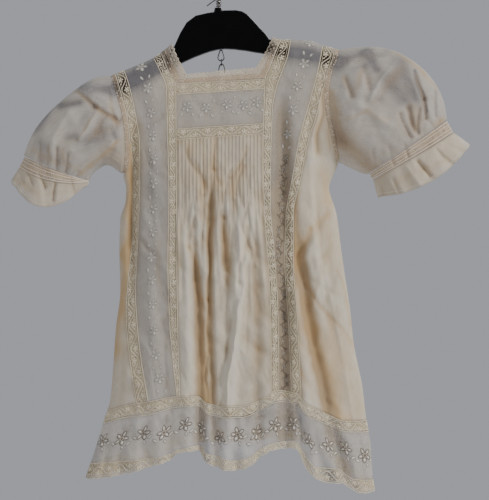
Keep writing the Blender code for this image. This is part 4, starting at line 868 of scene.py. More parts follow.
# this dark thread paints shade: the sprigs deep in the fold of the right band, and the holes round the
# flounce's sprigs
painted_shade_thread = thread("dark_painted_shade_thread", (0.25, 0.20, 0.145), (0.135, 0.105, 0.07), 0.85)
sprig_draw = np.random.default_rng(8)
SPRIG_PITCH = 26.7
SHADED_PITCH = 13.5
sheet_of_band = {
    "band_left": (shoulder_strip(seam(BAND_LEFT_OUTER), seam(BAND_LEFT_INNER), 26, 150), (0.040, 0.405)),
    "band_right": (shoulder_strip(seam(BAND_RIGHT_INNER), seam(BAND_RIGHT_OUTER), 26, 150), (0.036, 0.405)),
    "yoke_band": (yoke_strip("band_top", "band_low", 26, 70), (0.101, 0.038)),
}
for node, (cloth, flat) in sheet_of_band.items():
    shell(node + "_lawn", [cloth], sheer_lawn, [node],
          area=flat[0] * flat[1] * (0.82 if "right" in node else 0.9))
    white, grey, dull = Stitches(), Stitches(), Stitches()
    if node == "yoke_band":
        for number, side in enumerate((-36.0, -15.0, 8.0, 26.0, 40.0)):
            run = 16.5 if number % 2 else 14.0
            flower(white, grey, cloth, run, side, sprig_draw.uniform(-0.3, 0.3), 1.05, 0.8)
            leaf(white, grey, cloth, run + 9.0, side + 6.5, 0.7, 4.6, 1.9)
            leaf(white, grey, cloth, run + 8.0, side - 6.0, -0.8, 4.2, 1.7)
            leaf(white, grey, cloth, run - 7.5, side + 8.0, 2.4, 3.6, 1.5)
    else:
        run = 26.0
        while run < cloth.length - 10:
            # low on the right band the sprigs lie deep in a fold: they are drawn closer, in the dark thread,
            # as painted shade
            shaded = "right" in node and run > 150
            pitch = (SHADED_PITCH if shaded else SPRIG_PITCH) + sprig_draw.uniform(-1.4, 1.4)
            narrow = float(np.interp(run, cloth.run, cloth.width)) / 2 - 7
            side = sprig_draw.uniform(-1.0, 1.0) + (0.0 if "left" in node else max(-narrow, min(narrow, 3.0)))
            if shaded:
                way = 1 if int(run) % 2 else -1
                flower(white, dull, cloth, run, side + 1.2 * way, sprig_draw.uniform(-0.6, 0.6),
                       sprig_draw.uniform(0.66, 0.8), 0.4)
                zigzag = [(0.15, 1.0), (0.35, 2.6), (0.5, 0.2), (0.65, -2.6), (0.85, -1.0)]
                bends = [(run + pitch * along, side + way * off) for along, off in zigzag]
                dull.cord(cloth, bends, 0.85, 0.45)
                for along, off in zigzag[1:4:2]:
                    dull.filling(cloth, run + pitch * along, side + way * off * 1.5, 4.6, 2.0,
                                 0.8 * way, 0.4, 8)
            else:
                flower(white, grey, cloth, run, side, sprig_draw.uniform(-0.25, 0.25),
                       sprig_draw.uniform(0.95, 1.1), 0.9)
                between = run + SPRIG_PITCH / 2
                if between < cloth.length - 6:
                    leaf(white, grey, cloth, between, side - 4.5, 0.35, 4.6, 2.0)
                    leaf(white, grey, cloth, between + 1.5, side + 4.0, -0.6, 3.6, 1.5)
            run += pitch
    white.piece(node + "_sprigs", satin, node, "embroidered_lawn")
    grey.piece(node + "_painted_hole_shade", painted_hole_shade, node, "embroidered_lawn")
    if dull.points:
        dull.piece(node + "_shaded_sprigs", painted_shade_thread, node, "embroidered_lawn")


# The lace insertions: machine-made cotton net, yellowed, with a scrolling vine, a small
# flower in every bend and a firm cord along both edges.  They lie between the panels.
OUTER_LACE_LEFT = [
    (205, -95.6), (245, -94), (311, -95), (355, -99), (388, -101), (421, -99), (465, -93),
    (500, -88), (600, -88),
]
OUTER_LACE_RIGHT = [
    (145.5, 114.4), (180, 106), (201, 99), (245, 90), (284, 82), (333, 82), (399, 86), (487, 90),
    (600, 92),
]
BEADING = 4.2
LACE_PITCH = 13.0
NET = 0.3


def lace_net(name, light, dark, border_holes=1.0):
    """Fine net with open eyelets between the motifs and a row of holes along each edge."""
    finish = Finish(name, 0.9, Sheen_Weight=0.1, Specular_IOR_Level=0.15)
    grain = finish.attribute("weave_mm")
    down, edge = finish.part(grain, 1), finish.part(grain, 2)
    flat = finish.node("VectorMath", {"operation": "MULTIPLY"}, [grain, (1.0, 1.0, 0.0)])
    cell, eyelet = (finish.node("TexVoronoi", {"feature": "F1"},
                                {"Vector": flat, "Scale": scale, "Randomness": uneven}, "Distance")
                    for scale, uneven in ((0.95, 0.4), (0.4, 0.9)))
    border = edge.above(1.15, 0.15) * (1.0 - edge.above(2.2, 0.2)) * (down * 2.3).math("SINE").above(0.1, 0.3)
    border = border * border_holes
    marks = finish.attribute("patches")
    base = finish.mix(finish.noise(22, 3).above(0.5, 0.2) * 0.7, light, dark)
    # the patches paint shade: tan for yellowing and painted fold shade, near black as painted shade where
    # something dark lies behind
    base = finish.mix(finish.part(marks, 0) * 0.7, base, tinted(dark, 0.75))
    finish.feed("Base Color", finish.mix(finish.part(marks, 1) * 0.95, base, tinted(dark, 0.1)))
    closed = eyelet.above(0.33, 0.04) * (1.0 - border)
    finish.feed("Alpha", (cell.above(0.33, 0.05) * 0.42 + 0.2) * closed)
    finish.feed("Normal", finish.bump(cell, 0.0001, 0.5))
    return finish


def lace_work(stitches, cloth):
    """A ribbon that winds along the strip, with a dense flower in every bend."""
    bend = cloth.width.mean() / 2 - 2.5
    count = max(1, round((cloth.length - 2) / LACE_PITCH))
    pitch = (cloth.length - 1.0) / count
    run = np.linspace(0.5, cloth.length - 0.5, count * 12 + 1)
    phase = (run - 0.5) / pitch * math.pi
    stitches.cord(cloth, np.stack([run, bend * np.sin(phase)], 1), 0.55, 0.26)
    for number in range(count):
        middle = 0.5 + (number + 0.5) * pitch
        way = -1 if number % 2 else 1
        heart = -way * 0.5 * bend
        stitches.filling(cloth, middle, heart, 2.5, 2.7, 0.0, 0.5, 8)
        for petal in range(5):
            angle = petal * math.tau / 5 + 0.3 * way
            stitches.filling(cloth, middle + 2.3 * math.cos(angle), heart + 2.0 * math.sin(angle),
                             2.5, 1.9, angle, 0.4, 8)
        for away in (-1, 1):
            stitches.filling(cloth, middle + away * 5.0, heart - way * 0.25 * bend, 3.0, 1.4,
                             -away * way * 0.7, 0.3, 8)
    half = np.interp(run, cloth.run, cloth.width) / 2
    for edge in (-1, 1):
        for inset, thick in ((0.5, 0.5), (2.6, 0.22)):
            stitches.cord(cloth, np.stack([run, edge * (half - inset)], 1), thick, 0.36)


def outer_seam(side, beading, table):
    """The outer edge of a lace: beside the armhole's beading, then along its own table."""
    return lambda down: np.where(down < table[0][0], read(side, down) + beading, read(table, down))


outer_left = outer_seam(SIDE_LEFT, BEADING, OUTER_LACE_LEFT)
outer_right = outer_seam(SIDE_RIGHT, -BEADING, OUTER_LACE_RIGHT)
net = lace_net("yellowed_lace_net", (0.75, 0.65, 0.46), (0.65, 0.52, 0.33))
lace_thread = thread("yellowed_lace_thread", (0.84, 0.76, 0.59), (0.68, 0.56, 0.38), 0.75)
laces = {
    "inner_lace_left": (shoulder_strip(seam(BAND_LEFT_INNER), seam(INNER_LACE_LEFT), 10, 150),
                        (0.012, 0.405)),
    "inner_lace_right": (shoulder_strip(seam(INNER_LACE_RIGHT), seam(BAND_RIGHT_INNER), 10, 150),
                         (0.012, 0.405)),
    "outer_lace_left": (shoulder_strip(outer_left, seam(BAND_LEFT_OUTER), 10, 150), (0.012, 0.395)),
    "outer_lace_right": (shoulder_strip(seam(BAND_RIGHT_OUTER), outer_right, 12, 150), (0.014, 0.41)),
    "yoke_lace_upper": (yoke_strip("upper", "band_top", 10, 70).turned(), (0.012, 0.1)),
    "yoke_lace_lower": (yoke_strip("band_low", "lower", 10, 70).turned(), (0.012, 0.1)),
}
for node, (cloth, flat) in laces.items():
    shell(node + "_net", [cloth.turned() if "yoke" in node else cloth], net, [node],
          area=flat[0] * flat[1] * 0.95, thick=NET)
    work = Stitches()
    lace_work(work, cloth)
    work.piece(node + "_pattern", lace_thread, node, "lace")


# The side panels: plain cream lawn between the outer lace and the side seams, cut away
# under the arms.
def beading_width(share):
    return read([(0, BEADING), (0.268, BEADING), (0.296, 3.4), (0.316, 0.0), (1.3, 0.0)], share)


def crowded(count):
    return np.linspace(0, 1, count + 1) ** 1.7


for side in ("left", "right"):
    top = 0.228 if side == "left" else 0.121
    share = np.concatenate([np.linspace(top, 0.4, 45), np.linspace(0.4, 1, 90)[1:]])[:, None]
    if side == "left":
        across, down = spots(True, seam(SIDE_LEFT), seam(OUTER_LACE_LEFT), crowded(24), share,
                             first_in=beading_width(share))
    else:
        across, down = spots(True, seam(OUTER_LACE_RIGHT), seam(SIDE_RIGHT), 1 - crowded(46)[::-1], share,
                             last_in=beading_width(share))
    flat, area = ((0.04, 0.30), 0.0055) if side == "left" else ((0.092, 0.37), 0.021)
    shell(f"side_front_{side}_lawn", [Cloth(*hang(True, across, down))], cream_lawn, [f"side_front_{side}"],
          area=area)


# The back: two plain panels of the same lawn, with the square of the neck cut out.  They
# meet under a narrow placket that is shut with three small shell buttons.
CENTRE_BACK = [(80, 2), (600, 6)]
CORNER_SHARE = 0.121
LEVEL_SHARE = 0.178
neck_corner = [seam_spots(True, line, CORNER_SHARE) for line in (INNER_LACE_LEFT, INNER_LACE_RIGHT)]


def squared(across, down, share):
    """Pulls the top of the back to the straight line between the corners of the neck."""
    (left, left_down), (right, right_down) = neck_corner
    line = left_down + (across - left) / (right - left) * (right_down - left_down)
    return down + (line - down[0]) * np.clip((LEVEL_SHARE - share) / (LEVEL_SHARE - CORNER_SHARE), 0, 1)


for side in ("left", "right"):
    edge, strap = (SIDE_LEFT, INNER_LACE_LEFT) if side == "left" else (SIDE_RIGHT, INNER_LACE_RIGHT)
    share = np.concatenate([np.linspace(BACK_SHOULDER_SHARE, 0.4, 60), np.linspace(0.4, 1, 80)[1:]])
    share = np.sort(np.append(share, CORNER_SHARE))[:, None]
    inner = share[share[:, 0] >= CORNER_SHARE]
    width = beading_width(share)
    if side == "left":
        outer_part = spots(False, seam(edge), seam(strap), crowded(30), share, first_in=width)
        across, down = spots(False, seam(strap), seam(CENTRE_BACK), even(24), inner)
    else:
        outer_part = spots(False, seam(strap), seam(edge), 1 - crowded(44)[::-1], share, last_in=width)
        across, down = spots(False, seam(CENTRE_BACK), seam(strap), even(24), inner)
    grids = []
    for part in (outer_part, (across, squared(across[0], down, inner))):
        points, tone = hang(False, *part)
        grids.append(Cloth(points[:, ::-1], tone[:, ::-1]))
    flat = (0.145, 0.39) if side == "left" else (0.19, 0.41)
    shell(f"back_{side}_lawn", grids, cream_lawn, [f"back_{side}"],
          area=flat[0] * flat[1] * 0.72)


# The placket: a folded strip of the lawn down the centre back, with a line of running
# stitches along both of its edges.
PLACKET_HALF = 6.5
PLACKET_RISE = 1.6
STITCH_PITCH = 2.4
share = np.linspace(CORNER_SHARE, 0.53, 60)[:, None]
across, down = seam_spots(False, CENTRE_BACK, share)
across = across + np.linspace(-PLACKET_HALF, PLACKET_HALF, 9)
points, tone = hang(False, across, squared(across, np.broadcast_to(down, across.shape), share))
points[..., 1] += PLACKET_RISE * MM
placket_cloth = Cloth(points[:, ::-1], tone[:, ::-1])
shell("back_placket_lawn", [placket_cloth], cream_lawn, ["back_placket"],
      area=0.0021, thick=0.8)
work = Stitches()
for side in (-5.4, 5.4):
    for run in np.arange(1.5, placket_cloth.length - 1.5, STITCH_PITCH):
        work.cord(placket_cloth, [(run, side), (run + 0.8, side), (run + 1.6, side)], 0.2, 0.18)
work.piece("back_placket_stitching", satin, "back_placket", "cream_lawn")


# The buttons: three small turned discs of shell with a raised rim, sewn to the placket,
# the first of them just below the neck.
BUTTON_SHARES = (0.135, 0.245, 0.36)
BUTTON_TURNS = 40
BUTTON_RISE = 2.1
shell_finish = Finish("mother_of_pearl", 0.25, Coat_Weight=0.3)
layers = shell_finish.noise(260, 5, 0.7)
pearl = shell_finish.mix(layers.above(0.5, 0.2), (0.78, 0.75, 0.68), (0.60, 0.60, 0.57))
shell_finish.feed("Base Color", pearl)
shell_finish.feed("Roughness", 0.2 + layers * 0.15)
# radius and height, from the middle of the face round the rim to the back
BUTTON_PROFILE = [(0.0, 0.75), (1.6, 0.75), (2.6, 0.95), (3.2, 1.5), (3.9, 1.7), (4.5, 1.1), (4.4, 0.3),
                  (3.6, 0.0), (0.0, 0.0)]
rim = np.arange(BUTTON_TURNS) * math.tau / BUTTON_TURNS
rings = [np.stack([radius * np.cos(rim), high + 0 * rim, radius * np.sin(rim)], 1)
         for radius, high in BUTTON_PROFILE[1:-1]]
button_points = np.concatenate([[(0.0, BUTTON_PROFILE[0][1], 0.0)], *rings, [(0.0, 0.0, 0.0)]])
button_faces = []
for step in range(BUTTON_TURNS):
    after = (step + 1) % BUTTON_TURNS
    button_faces.append((0, 1 + step, 1 + after))
    for ring in range(len(rings) - 1):
        a = 1 + ring * BUTTON_TURNS
        button_faces.append((a + step, a + BUTTON_TURNS + step, a + BUTTON_TURNS + after, a + after))
    end = 1 + (len(rings) - 1) * BUTTON_TURNS
    button_faces.append((end + after, end + step, len(button_points) - 1))
for number, share in enumerate(BUTTON_SHARES):
    middle = hang(False, *seam_spots(False, CENTRE_BACK, share))[0] + np.array([0, BUTTON_RISE * MM, 0])
    button = smooth_object(f"shell_button_{number + 1}", button_points * MM + middle, button_faces,
                           shell_finish)
    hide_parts(f"back_button_{number + 1}")


# The hem: a ring of lace insertion, then a gathered flounce of the embroidered lawn and a
# narrow scalloped edging.  All three go right round, with their folds carried down.
def hem_cloth(upper, lower, rows, columns):
    turn = np.concatenate([np.linspace(0, 1, columns + 1)[:-1], np.linspace(1, 2, columns + 1)])
    ease = 0.5 - 0.5 * np.cos(np.clip(turn % 1, 0, 1) * math.pi)
    front = (turn < 1)[None, :]
    share = np.where(turn < 1, ease, 1 - ease)
    share[-1] = 0.0
    part = even(rows)[:, None]
    down = np.full((rows + 1, len(turn)), 500.0)
    for _ in range(8):
        left, right = read(SIDE_LEFT, down), read(SIDE_RIGHT, down)
        across = left + share * (right - left)
        top = hem_line(upper, front, across)
        down = top + part * (hem_line(lower, front, across) - top)
    return across, down, front


FLOUNCE_PITCH = 24.5
hem_pieces = {
    "hem_lace": (0, 1, 8, "lace", (0.0125, 0.64)),
    "hem_flounce": (1, 2, 26, "embroidered_lawn", (0.046, 0.72)),
    "hem_edging": (2, 3, 10, "lace", (0.0135, 0.72)),
}
for node, (upper, lower, rows, slot, flat) in hem_pieces.items():
    across, down, front = hem_cloth(upper, lower, rows, 210)
    waves = 0.7 * np.sin(across / 5.2 + 0.8 * np.sin(across / 17)) if upper else 0.0
    if node == "hem_edging":
        part = even(rows)[:, None]
        down = down + np.clip(part * 3 - 2, 0, 1) * 0.9 * (np.abs(np.sin(across / 5.6 * math.pi / 2)) - 1)
    points, tone = hang(front, across, down, waves)
    points[:, -1] = points[:, 0]
    cloth = Cloth(points, tone)
    shell(node + "_cloth", [cloth], sheer_lawn if "flounce" in node else net, [node],
          area=flat[0] * flat[1])
    along = cloth.turned()
    if node == "hem_flounce":
        white, grey = Stitches(), Stitches()
        run = 12.0
        while run < along.length - 12:
            side = sprig_draw.uniform(-5.5, 3.0)
            turn = 0.5 * math.pi + sprig_draw.uniform(-0.5, 0.5)
            flower(white, grey, along, run, side, turn, sprig_draw.uniform(1.2, 1.4), 0.85)
            for away, lean in ((-9.5, 0.5), (9.0, -0.6)):
                leaf(white, grey, along, run + away, side + sprig_draw.uniform(3.5, 8.0), lean, 6.0, 2.6)
            leaf(white, grey, along, run + 3.0, side + 10.5, 1.2, 4.6, 2.0)
            run += FLOUNCE_PITCH + sprig_draw.uniform(-2.0, 2.0)
        white.piece(node + "_sprigs", satin, node, slot)
        # the outlines and centres in the dark thread, as painted shade of the holes
        grey.piece(node + "_painted_hole_shade", painted_shade_thread, node, slot)
    else:
        work = Stitches()
        lace_work(work, along)
        work.piece(node + "_pattern", lace_thread, node, slot)


# The neck: a beading with a ladder of open stitches between two cords, and inside it a
# narrow scalloped edging.  Both are open at the centre back.
# across and down of the seam between beading and edging, then of the inner edge
NECK_LEFT = [(-57.6, 101.3, -50.0, 95.2), (-56.0, 105.0, -48.6, 99.5), (-52.0, 114.0, -45.4, 108.0),
             (-46.4, 126.0, -40.6, 118.5), (-40.6, 136.2, -34.6, 130.0)]
NECK_RIGHT = [(64.4, 90.2, 58.0, 88.2), (63.4, 93.4, 57.2, 92.4), (59.6, 102.6, 53.0, 102.0),
              (52.4, 116.8, 46.8, 113.0), (45.4, 130.2, 41.0, 122.6)]
NECK_SHARES = (0.0, 0.0092, BACK_SHOULDER_SHARE, 0.076, CORNER_SHARE)
RUNG_PITCH = 1.9
stations = {"left": [], "right": []}
for side, line, table in (("left", INNER_LACE_LEFT, NECK_LEFT), ("right", INNER_LACE_RIGHT, NECK_RIGHT)):
    for share, row in zip(NECK_SHARES, table):
        across, down = seam_spots(True, line, share)
        stations[side].append(np.array([float(across), float(down), *row]))
left, right = stations["left"], stations["right"]
middle = (read(CENTRE_BACK, 140) - left[-1][0]) / (right[-1][0] - left[-1][0])
opening = left[-1] + middle * (right[-1] - left[-1])
# from the opening round to it again: -1 is the back, 0 the shoulder's crest, 1 the front
neck_ring = [(-1, row) for row in (opening, *left[:0:-1])] + [(0, left[0])]
neck_ring += [(1, row) for row in (*left[1:], *right[:0:-1])] + [(0, right[0])]
neck_ring += [(-1, row) for row in (*right[1:], opening)]
faces_round, rows_round = [], []
for (face, row), (after_face, after) in zip(neck_ring, neck_ring[1:]):
    count = max(4, int(np.hypot(*(after - row)[:2]) / 1.1))
    for step in range(count):
        part = step / count
        if face == 0:
            part = part ** 2
        elif after_face == 0:
            part = 1 - (1 - part) ** 2
        faces_round.append(face or after_face)
        rows_round.append(row + part * (after - row))
faces_round.append(-1)
rows_round.append(neck_ring[-1][1])
rows_round = np.array(rows_round)
neck_front = (np.array(faces_round) > 0)[:, None]


def neck_cloth(which, columns):
    part = even(columns)
    first, last = rows_round[:, 2 * which:2 * which + 2], rows_round[:, 2 * which + 2:2 * which + 4]
    across = first[:, :1] + part * (last - first)[:, :1]
    down = first[:, 1:] + part * (last - first)[:, 1:]
    if which:
        dip = 0.2 * np.clip(part * 3 - 2, 0, 1) * np.abs(np.sin(np.arange(len(first)) * 0.62))[:, None] ** 3
        across, down = across - dip * (last - first)[:, :1], down - dip * (last - first)[:, 1:]
    down = np.maximum(down, read(CREST, across))
    points, tone = hang(neck_front, across, down)
    return Cloth(points[:, ::-1], tone[:, ::-1])


def beading_work(stitches, cloth):
    """Two pairs of firm cords with a ladder of fine stitches between them."""
    for edge in (-1, 1):
        for place, half in ((0.41, 0.6), (0.17, 0.5)):
            path = np.stack([cloth.run, edge * place * cloth.width], 1)
            stitches.cord(cloth, path, half, 0.42)
    for run in np.arange(1.0, cloth.length - 0.5, RUNG_PITCH):
        wide = float(np.interp(run, cloth.run, cloth.width))
        stitches.cord(cloth, [(run, -0.4 * wide), (run, 0.0), (run, 0.4 * wide)], 0.2, 0.1)


cord_thread = thread("pinkish_cord_thread", (0.90, 0.79, 0.66), (0.70, 0.55, 0.41), 0.7)
neck_net = lace_net("cream_neck_net", (0.82, 0.74, 0.61), (0.72, 0.60, 0.43), 0.0)
beading_net = lace_net("narrow_beading_net", (0.66, 0.53, 0.37), (0.54, 0.40, 0.25), 0.0)
neck_pieces = {"neck_beading": (0, (0.010, 0.33), 0.0020), "neck_edging": (1, (0.010, 0.30), 0.0022)}
for node, (which, flat, area) in neck_pieces.items():
    cloth = neck_cloth(which, 6)
    shell(node + "_net", [cloth], neck_net if which else beading_net, [node],
          area=area, thick=NET)
    work = Stitches()
    if which == 0:
        beading_work(work, cloth)
    else:
        for edge in (-1, 1):
            work.cord(cloth, np.stack([cloth.run, edge * (cloth.width / 2 - 0.5)], 1)[::2], 0.45, 0.4)
        for run in np.arange(1.5, cloth.length, 5.2):
            wide = float(np.interp(run, cloth.run, cloth.width)) / 2
            arch = np.linspace(0, math.pi, 9)
            loop = [run + 2.5 * np.cos(arch), -wide * 0.1 - (wide - 0.9) * np.sin(arch)]
            work.cord(cloth, np.stack(loop, 1), 0.42, 0.34)
            work.filling(cloth, run, wide * 0.3, 2.8, 2.2, 0.0, 0.34, 8)
    work.piece(node + "_stitches", cord_thread, node, "lace")


# The armholes: the same narrow beading, sewn all round between the body and the sleeve.
for side, edge, inward in (("left", SIDE_LEFT, 1), ("right", SIDE_RIGHT, -1)):
    angle = np.linspace(0, math.tau, 121)[:, None]
    share = UNDERARM_SHARE * (1 - np.cos(angle)) / 2
    front = angle < math.pi
    part = even(5)[None, :]
    width = beading_width(share * 1.03) * part + 0.7 * part * (share > 0.29)
    lower_share = share * (1 + 0.02 * part)
    across = seam_spots(front, edge, lower_share)[0] + inward * width
    points, tone = hang(front, across, level(front, across, lower_share))
    points[..., 0] -= inward * 0.25 * MM
    points[-1] = points[0]
    points, tone = both_sides(side, points, tone)
    cloth = Cloth(points[::-1], tone[::-1])
    node = f"armhole_beading_{side}"
    shell(node + "_net", [cloth], beading_net, [node],
          area=0.0011, thick=NET)
    work = Stitches()
    beading_work(work, cloth)
    work.piece(node + "_stitches", cord_thread, node, "lace")


# The sleeves: short puffs of cream lawn, gathered into the armhole above and into the
# lace of the cuff below, with soft creases from hanging.

# across_top, down_top, across_low, down_low, half depth, bow inwards, gather rise, droop
SLEEVE_LEFT = [
    (-124, 131, -107, 238, 23, 8.5, 0.5, 0),
    (-134, 133, -112, 234, 28, 7, 1.0, 0),
    (-145, 138, -118, 230, 32, 5, 0.6, 0),
    (-158, 147, -124, 229, 35, 3, 0.3, 0),
    (-174, 160, -130, 232, 37, 1, 0.2, 0),
    (-189, 175, -136, 236, 37, 0, 0.4, 0),
    (-201, 191, -140, 240, 35, -1, 0.9, 0),
    (-208, 206, -142, 243, 31, -1, 1.5, 1),
    (-212.5, 219, -143.6, 245.5, 26.5, -1, 1.7, 2),
]
SLEEVE_RIGHT = [
    (140, 101, 134, 227, 23, -8, 0.5, 0),
    (151, 100, 136, 227, 28, -7, 1.0, 0),
    (168, 99, 139, 229, 33, -5, 0.6, 0),
    (189, 102, 145, 232, 36, -3, 0.3, 0),
    (208, 111, 151, 235, 38, -1, 0.2, 0),
    (226, 125, 156, 237, 38, 0, 0.4, 0),
    (239.5, 143, 160, 238, 36, 2, 0.9, 0),
    (247, 162, 163, 238.5, 32, 2, 1.5, 0),
    (250, 179.5, 165.5, 237.5, 27, 1, 1.7, 0),
]
# across and down of both ends, half width, rise: first the left sleeve and its frill
SLEEVE_FOLDS = [
    (-153.5, 148, -133, 169, 2.4, -3.4), (-133, 169, -106, 185, 2.2, -2.8), (-148, 142, -118, 165, 4.0, 2.0),
    (-148, 201, -128, 175, 2.4, 2.2), (-141, 205, -121, 180, 3.0, -2.0), (-184, 232, -181, 208, 1.7, -2.2),
    (-175.5, 235, -172, 212, 1.7, -2.2), (-167, 239, -161, 219, 1.7, -2.0), (-191, 224, -193, 205, 1.7, -2.0),
    (-146, 239, -114, 204, 2.6, 2.4), (-139, 242, -112, 211, 2.6, -2.4), (-172, 164, -154, 161, 5.0, -1.8),
    (-162, 176, -178, 204, 5.0, 1.8), (-132, 196, -116, 192, 4.0, -1.6), (-200, 196, -190, 180, 4.0, -1.4),
    (-156, 216, -136, 208, 2.4, 1.6), (-121, 148, -110, 190, 2.0, -1.2),
    (-194, 240, -187, 256, 1.8, -2.4), (-176, 250, -178, 268, 1.8, -2.6), (-207, 238, -203, 252, 1.6, -1.8),
    (-161, 247, -156, 262, 1.8, -2.0), (-216, 240, -214, 250, 1.4, -1.6),
    (196, 111, 163, 158, 1.9, 2.8), (205, 114, 173, 160, 6.0, -2.6), (215.7, 134, 222, 160, 2.6, -5.0),
    (222, 160, 225.5, 181, 1.9, -3.8), (210, 132, 217, 160, 2.5, 2.0), (202, 168, 214, 193, 2.4, -3.4),
    (217, 170, 217.5, 197, 1.8, -3.0), (196, 176, 208, 200, 2.0, -2.4), (235, 148, 237, 178, 1.6, -2.2),
    (121, 180, 135, 202, 6.0, -2.8), (135, 202, 172, 236, 6.0, -2.8), (138, 136, 144, 155, 2.6, -2.4),
    (158, 126, 163, 148, 3.0, -2.4), (142, 117, 172, 109, 4.5, -2.2), (143, 120, 168, 105, 1.6, 1.5),
    (183, 210, 192, 230, 1.8, -1.8), (167, 213, 173, 233, 1.8, -1.6), (199, 207, 205, 222, 1.6, -1.6),
    (230, 184, 238, 200, 1.6, -1.8), (150, 166, 186, 190, 6.0, 2.2), (236, 134, 244, 150, 2.4, -1.4),
    (216, 227, 229, 244, 1.9, -3.0), (190, 247, 199, 264, 1.9, -2.6), (238, 213, 256, 230, 1.7, -2.2),
    (171, 246, 182, 261, 2.0, -2.6), (205, 232, 217, 252, 3.0, 1.4), (250, 205, 268, 216, 1.6, -1.4),
]
# painted shade on the underside of the sleeves and cuffs, growing towards the lowest side of each ring
UNDERARM_PAINTED_SHADE = 0.8


def ring_rows(table, rows, angle, gather):
    """Rings of a sleeve or cuff between the rows of its table."""
    place = np.linspace(0, len(table) - 1, rows + 1)
    numbered = [(number, *row) for number, row in enumerate(table)]
    values = [read(numbered, place, column)[:, None] for column in range(1, 9)]
    across_top, down_top, across_low, down_low, half, bow, rise, droop = values
    share = (1 - np.cos(angle)) / 2
    turn = np.sin(angle)
    across = across_top + share * (across_low - across_top) + bow * turn ** 2
    down = down_top + share * (down_low - down_top) + droop * turn ** 2 * np.where(turn > 0, 1.0, 0.5)
    out_across = np.cos(angle) * (across_top - across_low) / 2
    out_down = np.cos(angle) * (down_top - down_low) / 2
    out_depth = -turn * half
    length = np.sqrt(out_across ** 2 + out_down ** 2 + out_depth ** 2)
    raised = rise * gather(place[:, None], angle)
    grow = raised / length
    across, down = across + out_across * grow, down + out_down * grow
    crushed = np.where(turn > 0, crumple(across, down, 31), crumple(across, down, 47))
    crease = (1.4 * crease_rise(SLEEVE_FOLDS, across, down) + 0.8 * crushed) * turn ** 2
    depth = out_depth * (1 + grow) - np.sign(turn) * crease
    # painted shade in the crease troughs, the gathers and the underside, and a painted highlight on crease
    # ridges and gathered crests
    tone = np.where(crease < 0, -1.25, -0.7) * crease - 0.9 * raised + 0.5 * rise + UNDERARM_PAINTED_SHADE * share ** 5
    return np.stack([across, depth, -down], -1) * MM, tone


def gathered(waves):
    def rise(place, angle):
        slow = 0.5 - 0.5 * np.cos(waves * angle + 0.9 * np.sin(3 * angle))
        fine = 0.5 - 0.5 * np.cos(2.3 * waves * angle + 2.0 * np.sin(2 * angle) + 0.5 * place)
        return 0.62 * slow + 0.38 * fine
    return rise


# the third colour is painted shade deep in the folds
sleeve_lawn = lawn("sleeve_lawn", (0.73, 0.69, 0.62), (0.70, 0.61, 0.47), (0.40, 0.29, 0.19), 0.4, 0.6)
sleeves = {
    "left": (SLEEVE_LEFT, SIDE_LEFT, -1, (0.30, 0.105), 0.028),
    "right": (SLEEVE_RIGHT, SIDE_RIGHT, 1, (0.34, 0.125), 0.038),
}
for side, (table, edge, outward, flat, area) in sleeves.items():
    angle = np.linspace(0, math.tau, 193)[None, :]
    share = UNDERARM_SHARE * (1 - np.cos(angle)) / 2
    front = angle < math.pi
    across, down = seam_spots(front, edge, share)
    first = np.stack([across + outward * 0.3, np.where(front, -1, 1) * armhole_depth(share), -down], -1) * MM
    points, tone = ring_rows(table, 72, angle, gathered(16))
    bridge = even(7)[:-1, None, None]
    points = np.concatenate([first + bridge * (points[0] - first[0]), points])
    tone = np.concatenate([np.repeat(tone[:1], 7, 0), tone])
    points[:, -1] = points[:, 0]
    shell(f"sleeve_{side}_puff", [Cloth(*both_sides(side, points, tone))], sleeve_lawn,
          [f"sleeve_{side}_front", f"sleeve_{side}_back"],
          area=area)


# The cuffs: a ring of narrow lace, then a small gathered frill of plain lawn with a
# narrow stitched hem.

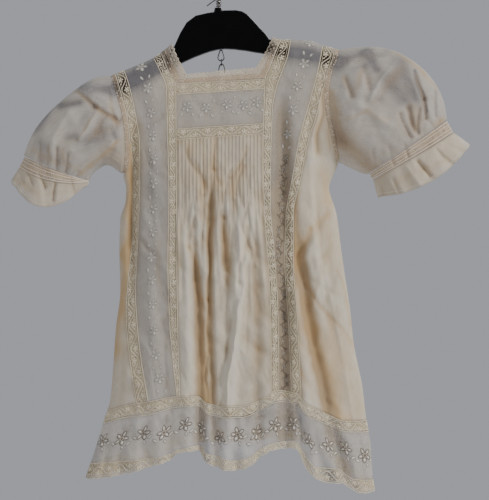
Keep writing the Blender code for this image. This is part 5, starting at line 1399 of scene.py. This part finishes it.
# flat size, then rows with the same columns as the sleeves
CUFFS = {
    "cuff_lace_left": ((0.18, 0.0125), [
        (-213, 220, -143.6, 246.1, 26.2, -1, 0.0, 2),
        (-218.5, 231.5, -143.4, 248, 24.6, -1, 0.8, 8)]),
    "cuff_frill_left": ((0.24, 0.0185), [
        (-218.8, 232.1, -143.4, 248.5, 24.8, -1, 0.8, 8),
        (-222.5, 239, -144, 249.4, 25.6, -2, 1.8, 18),
        (-226, 245.5, -145.2, 250.4, 26.6, -3, 2.8, 28)]),
    "cuff_lace_right": ((0.20, 0.0145), [
        (250.4, 180, 165.8, 238, 26.6, 1, 0.0, 0),
        (257.6, 193, 170.4, 244, 25.6, -2, 0.8, 3)]),
    "cuff_frill_right": ((0.30, 0.025), [
        (258, 193.6, 170.7, 244.6, 25.8, -2, 0.8, 3),
        (266.5, 200, 174, 254, 26.6, 1, 1.8, 8),
        (275, 207, 177.6, 263.5, 27.6, 4, 2.8, 13)]),
}
FRILL_HEM = 3.6
# the third colour is painted shade deep in the folds
frill_lawn = lawn("cuff_frill_lawn", (0.80, 0.73, 0.60), (0.72, 0.60, 0.43), (0.50, 0.37, 0.22), 0.62, 0.6)
for node, (flat, table) in CUFFS.items():
    frill = "frill" in node
    angle = np.linspace(0, math.tau, 201)[None, :]
    points, tone = ring_rows(table, 16 if frill else 8, angle, gathered(7))
    points[:, -1] = points[:, 0]
    cloth = Cloth(*both_sides(node.split("_")[-1], points, tone))
    slot = "embroidered_lawn" if frill else "lace"
    shell(node + "_cloth", [cloth], frill_lawn if frill else beading_net, [node],
          area=flat[0] * flat[1])
    work = Stitches()
    along = cloth.turned()
    if frill:
        for run in np.arange(1.0, along.length - 2, STITCH_PITCH):
            side = float(np.interp(run, along.run, along.width)) / 2 - FRILL_HEM
            work.cord(along, [(run, side), (run + 0.8, side), (run + 1.5, side)], 0.2, 0.2)
        work.piece(node + "_work", satin, node, slot)
    else:
        beading_work(work, along)
        work.piece(node + "_pattern", cord_thread, node, slot)

solid_low, solid_high = [round(value, 5) for value in solid_low], [round(value, 5) for value in solid_high]
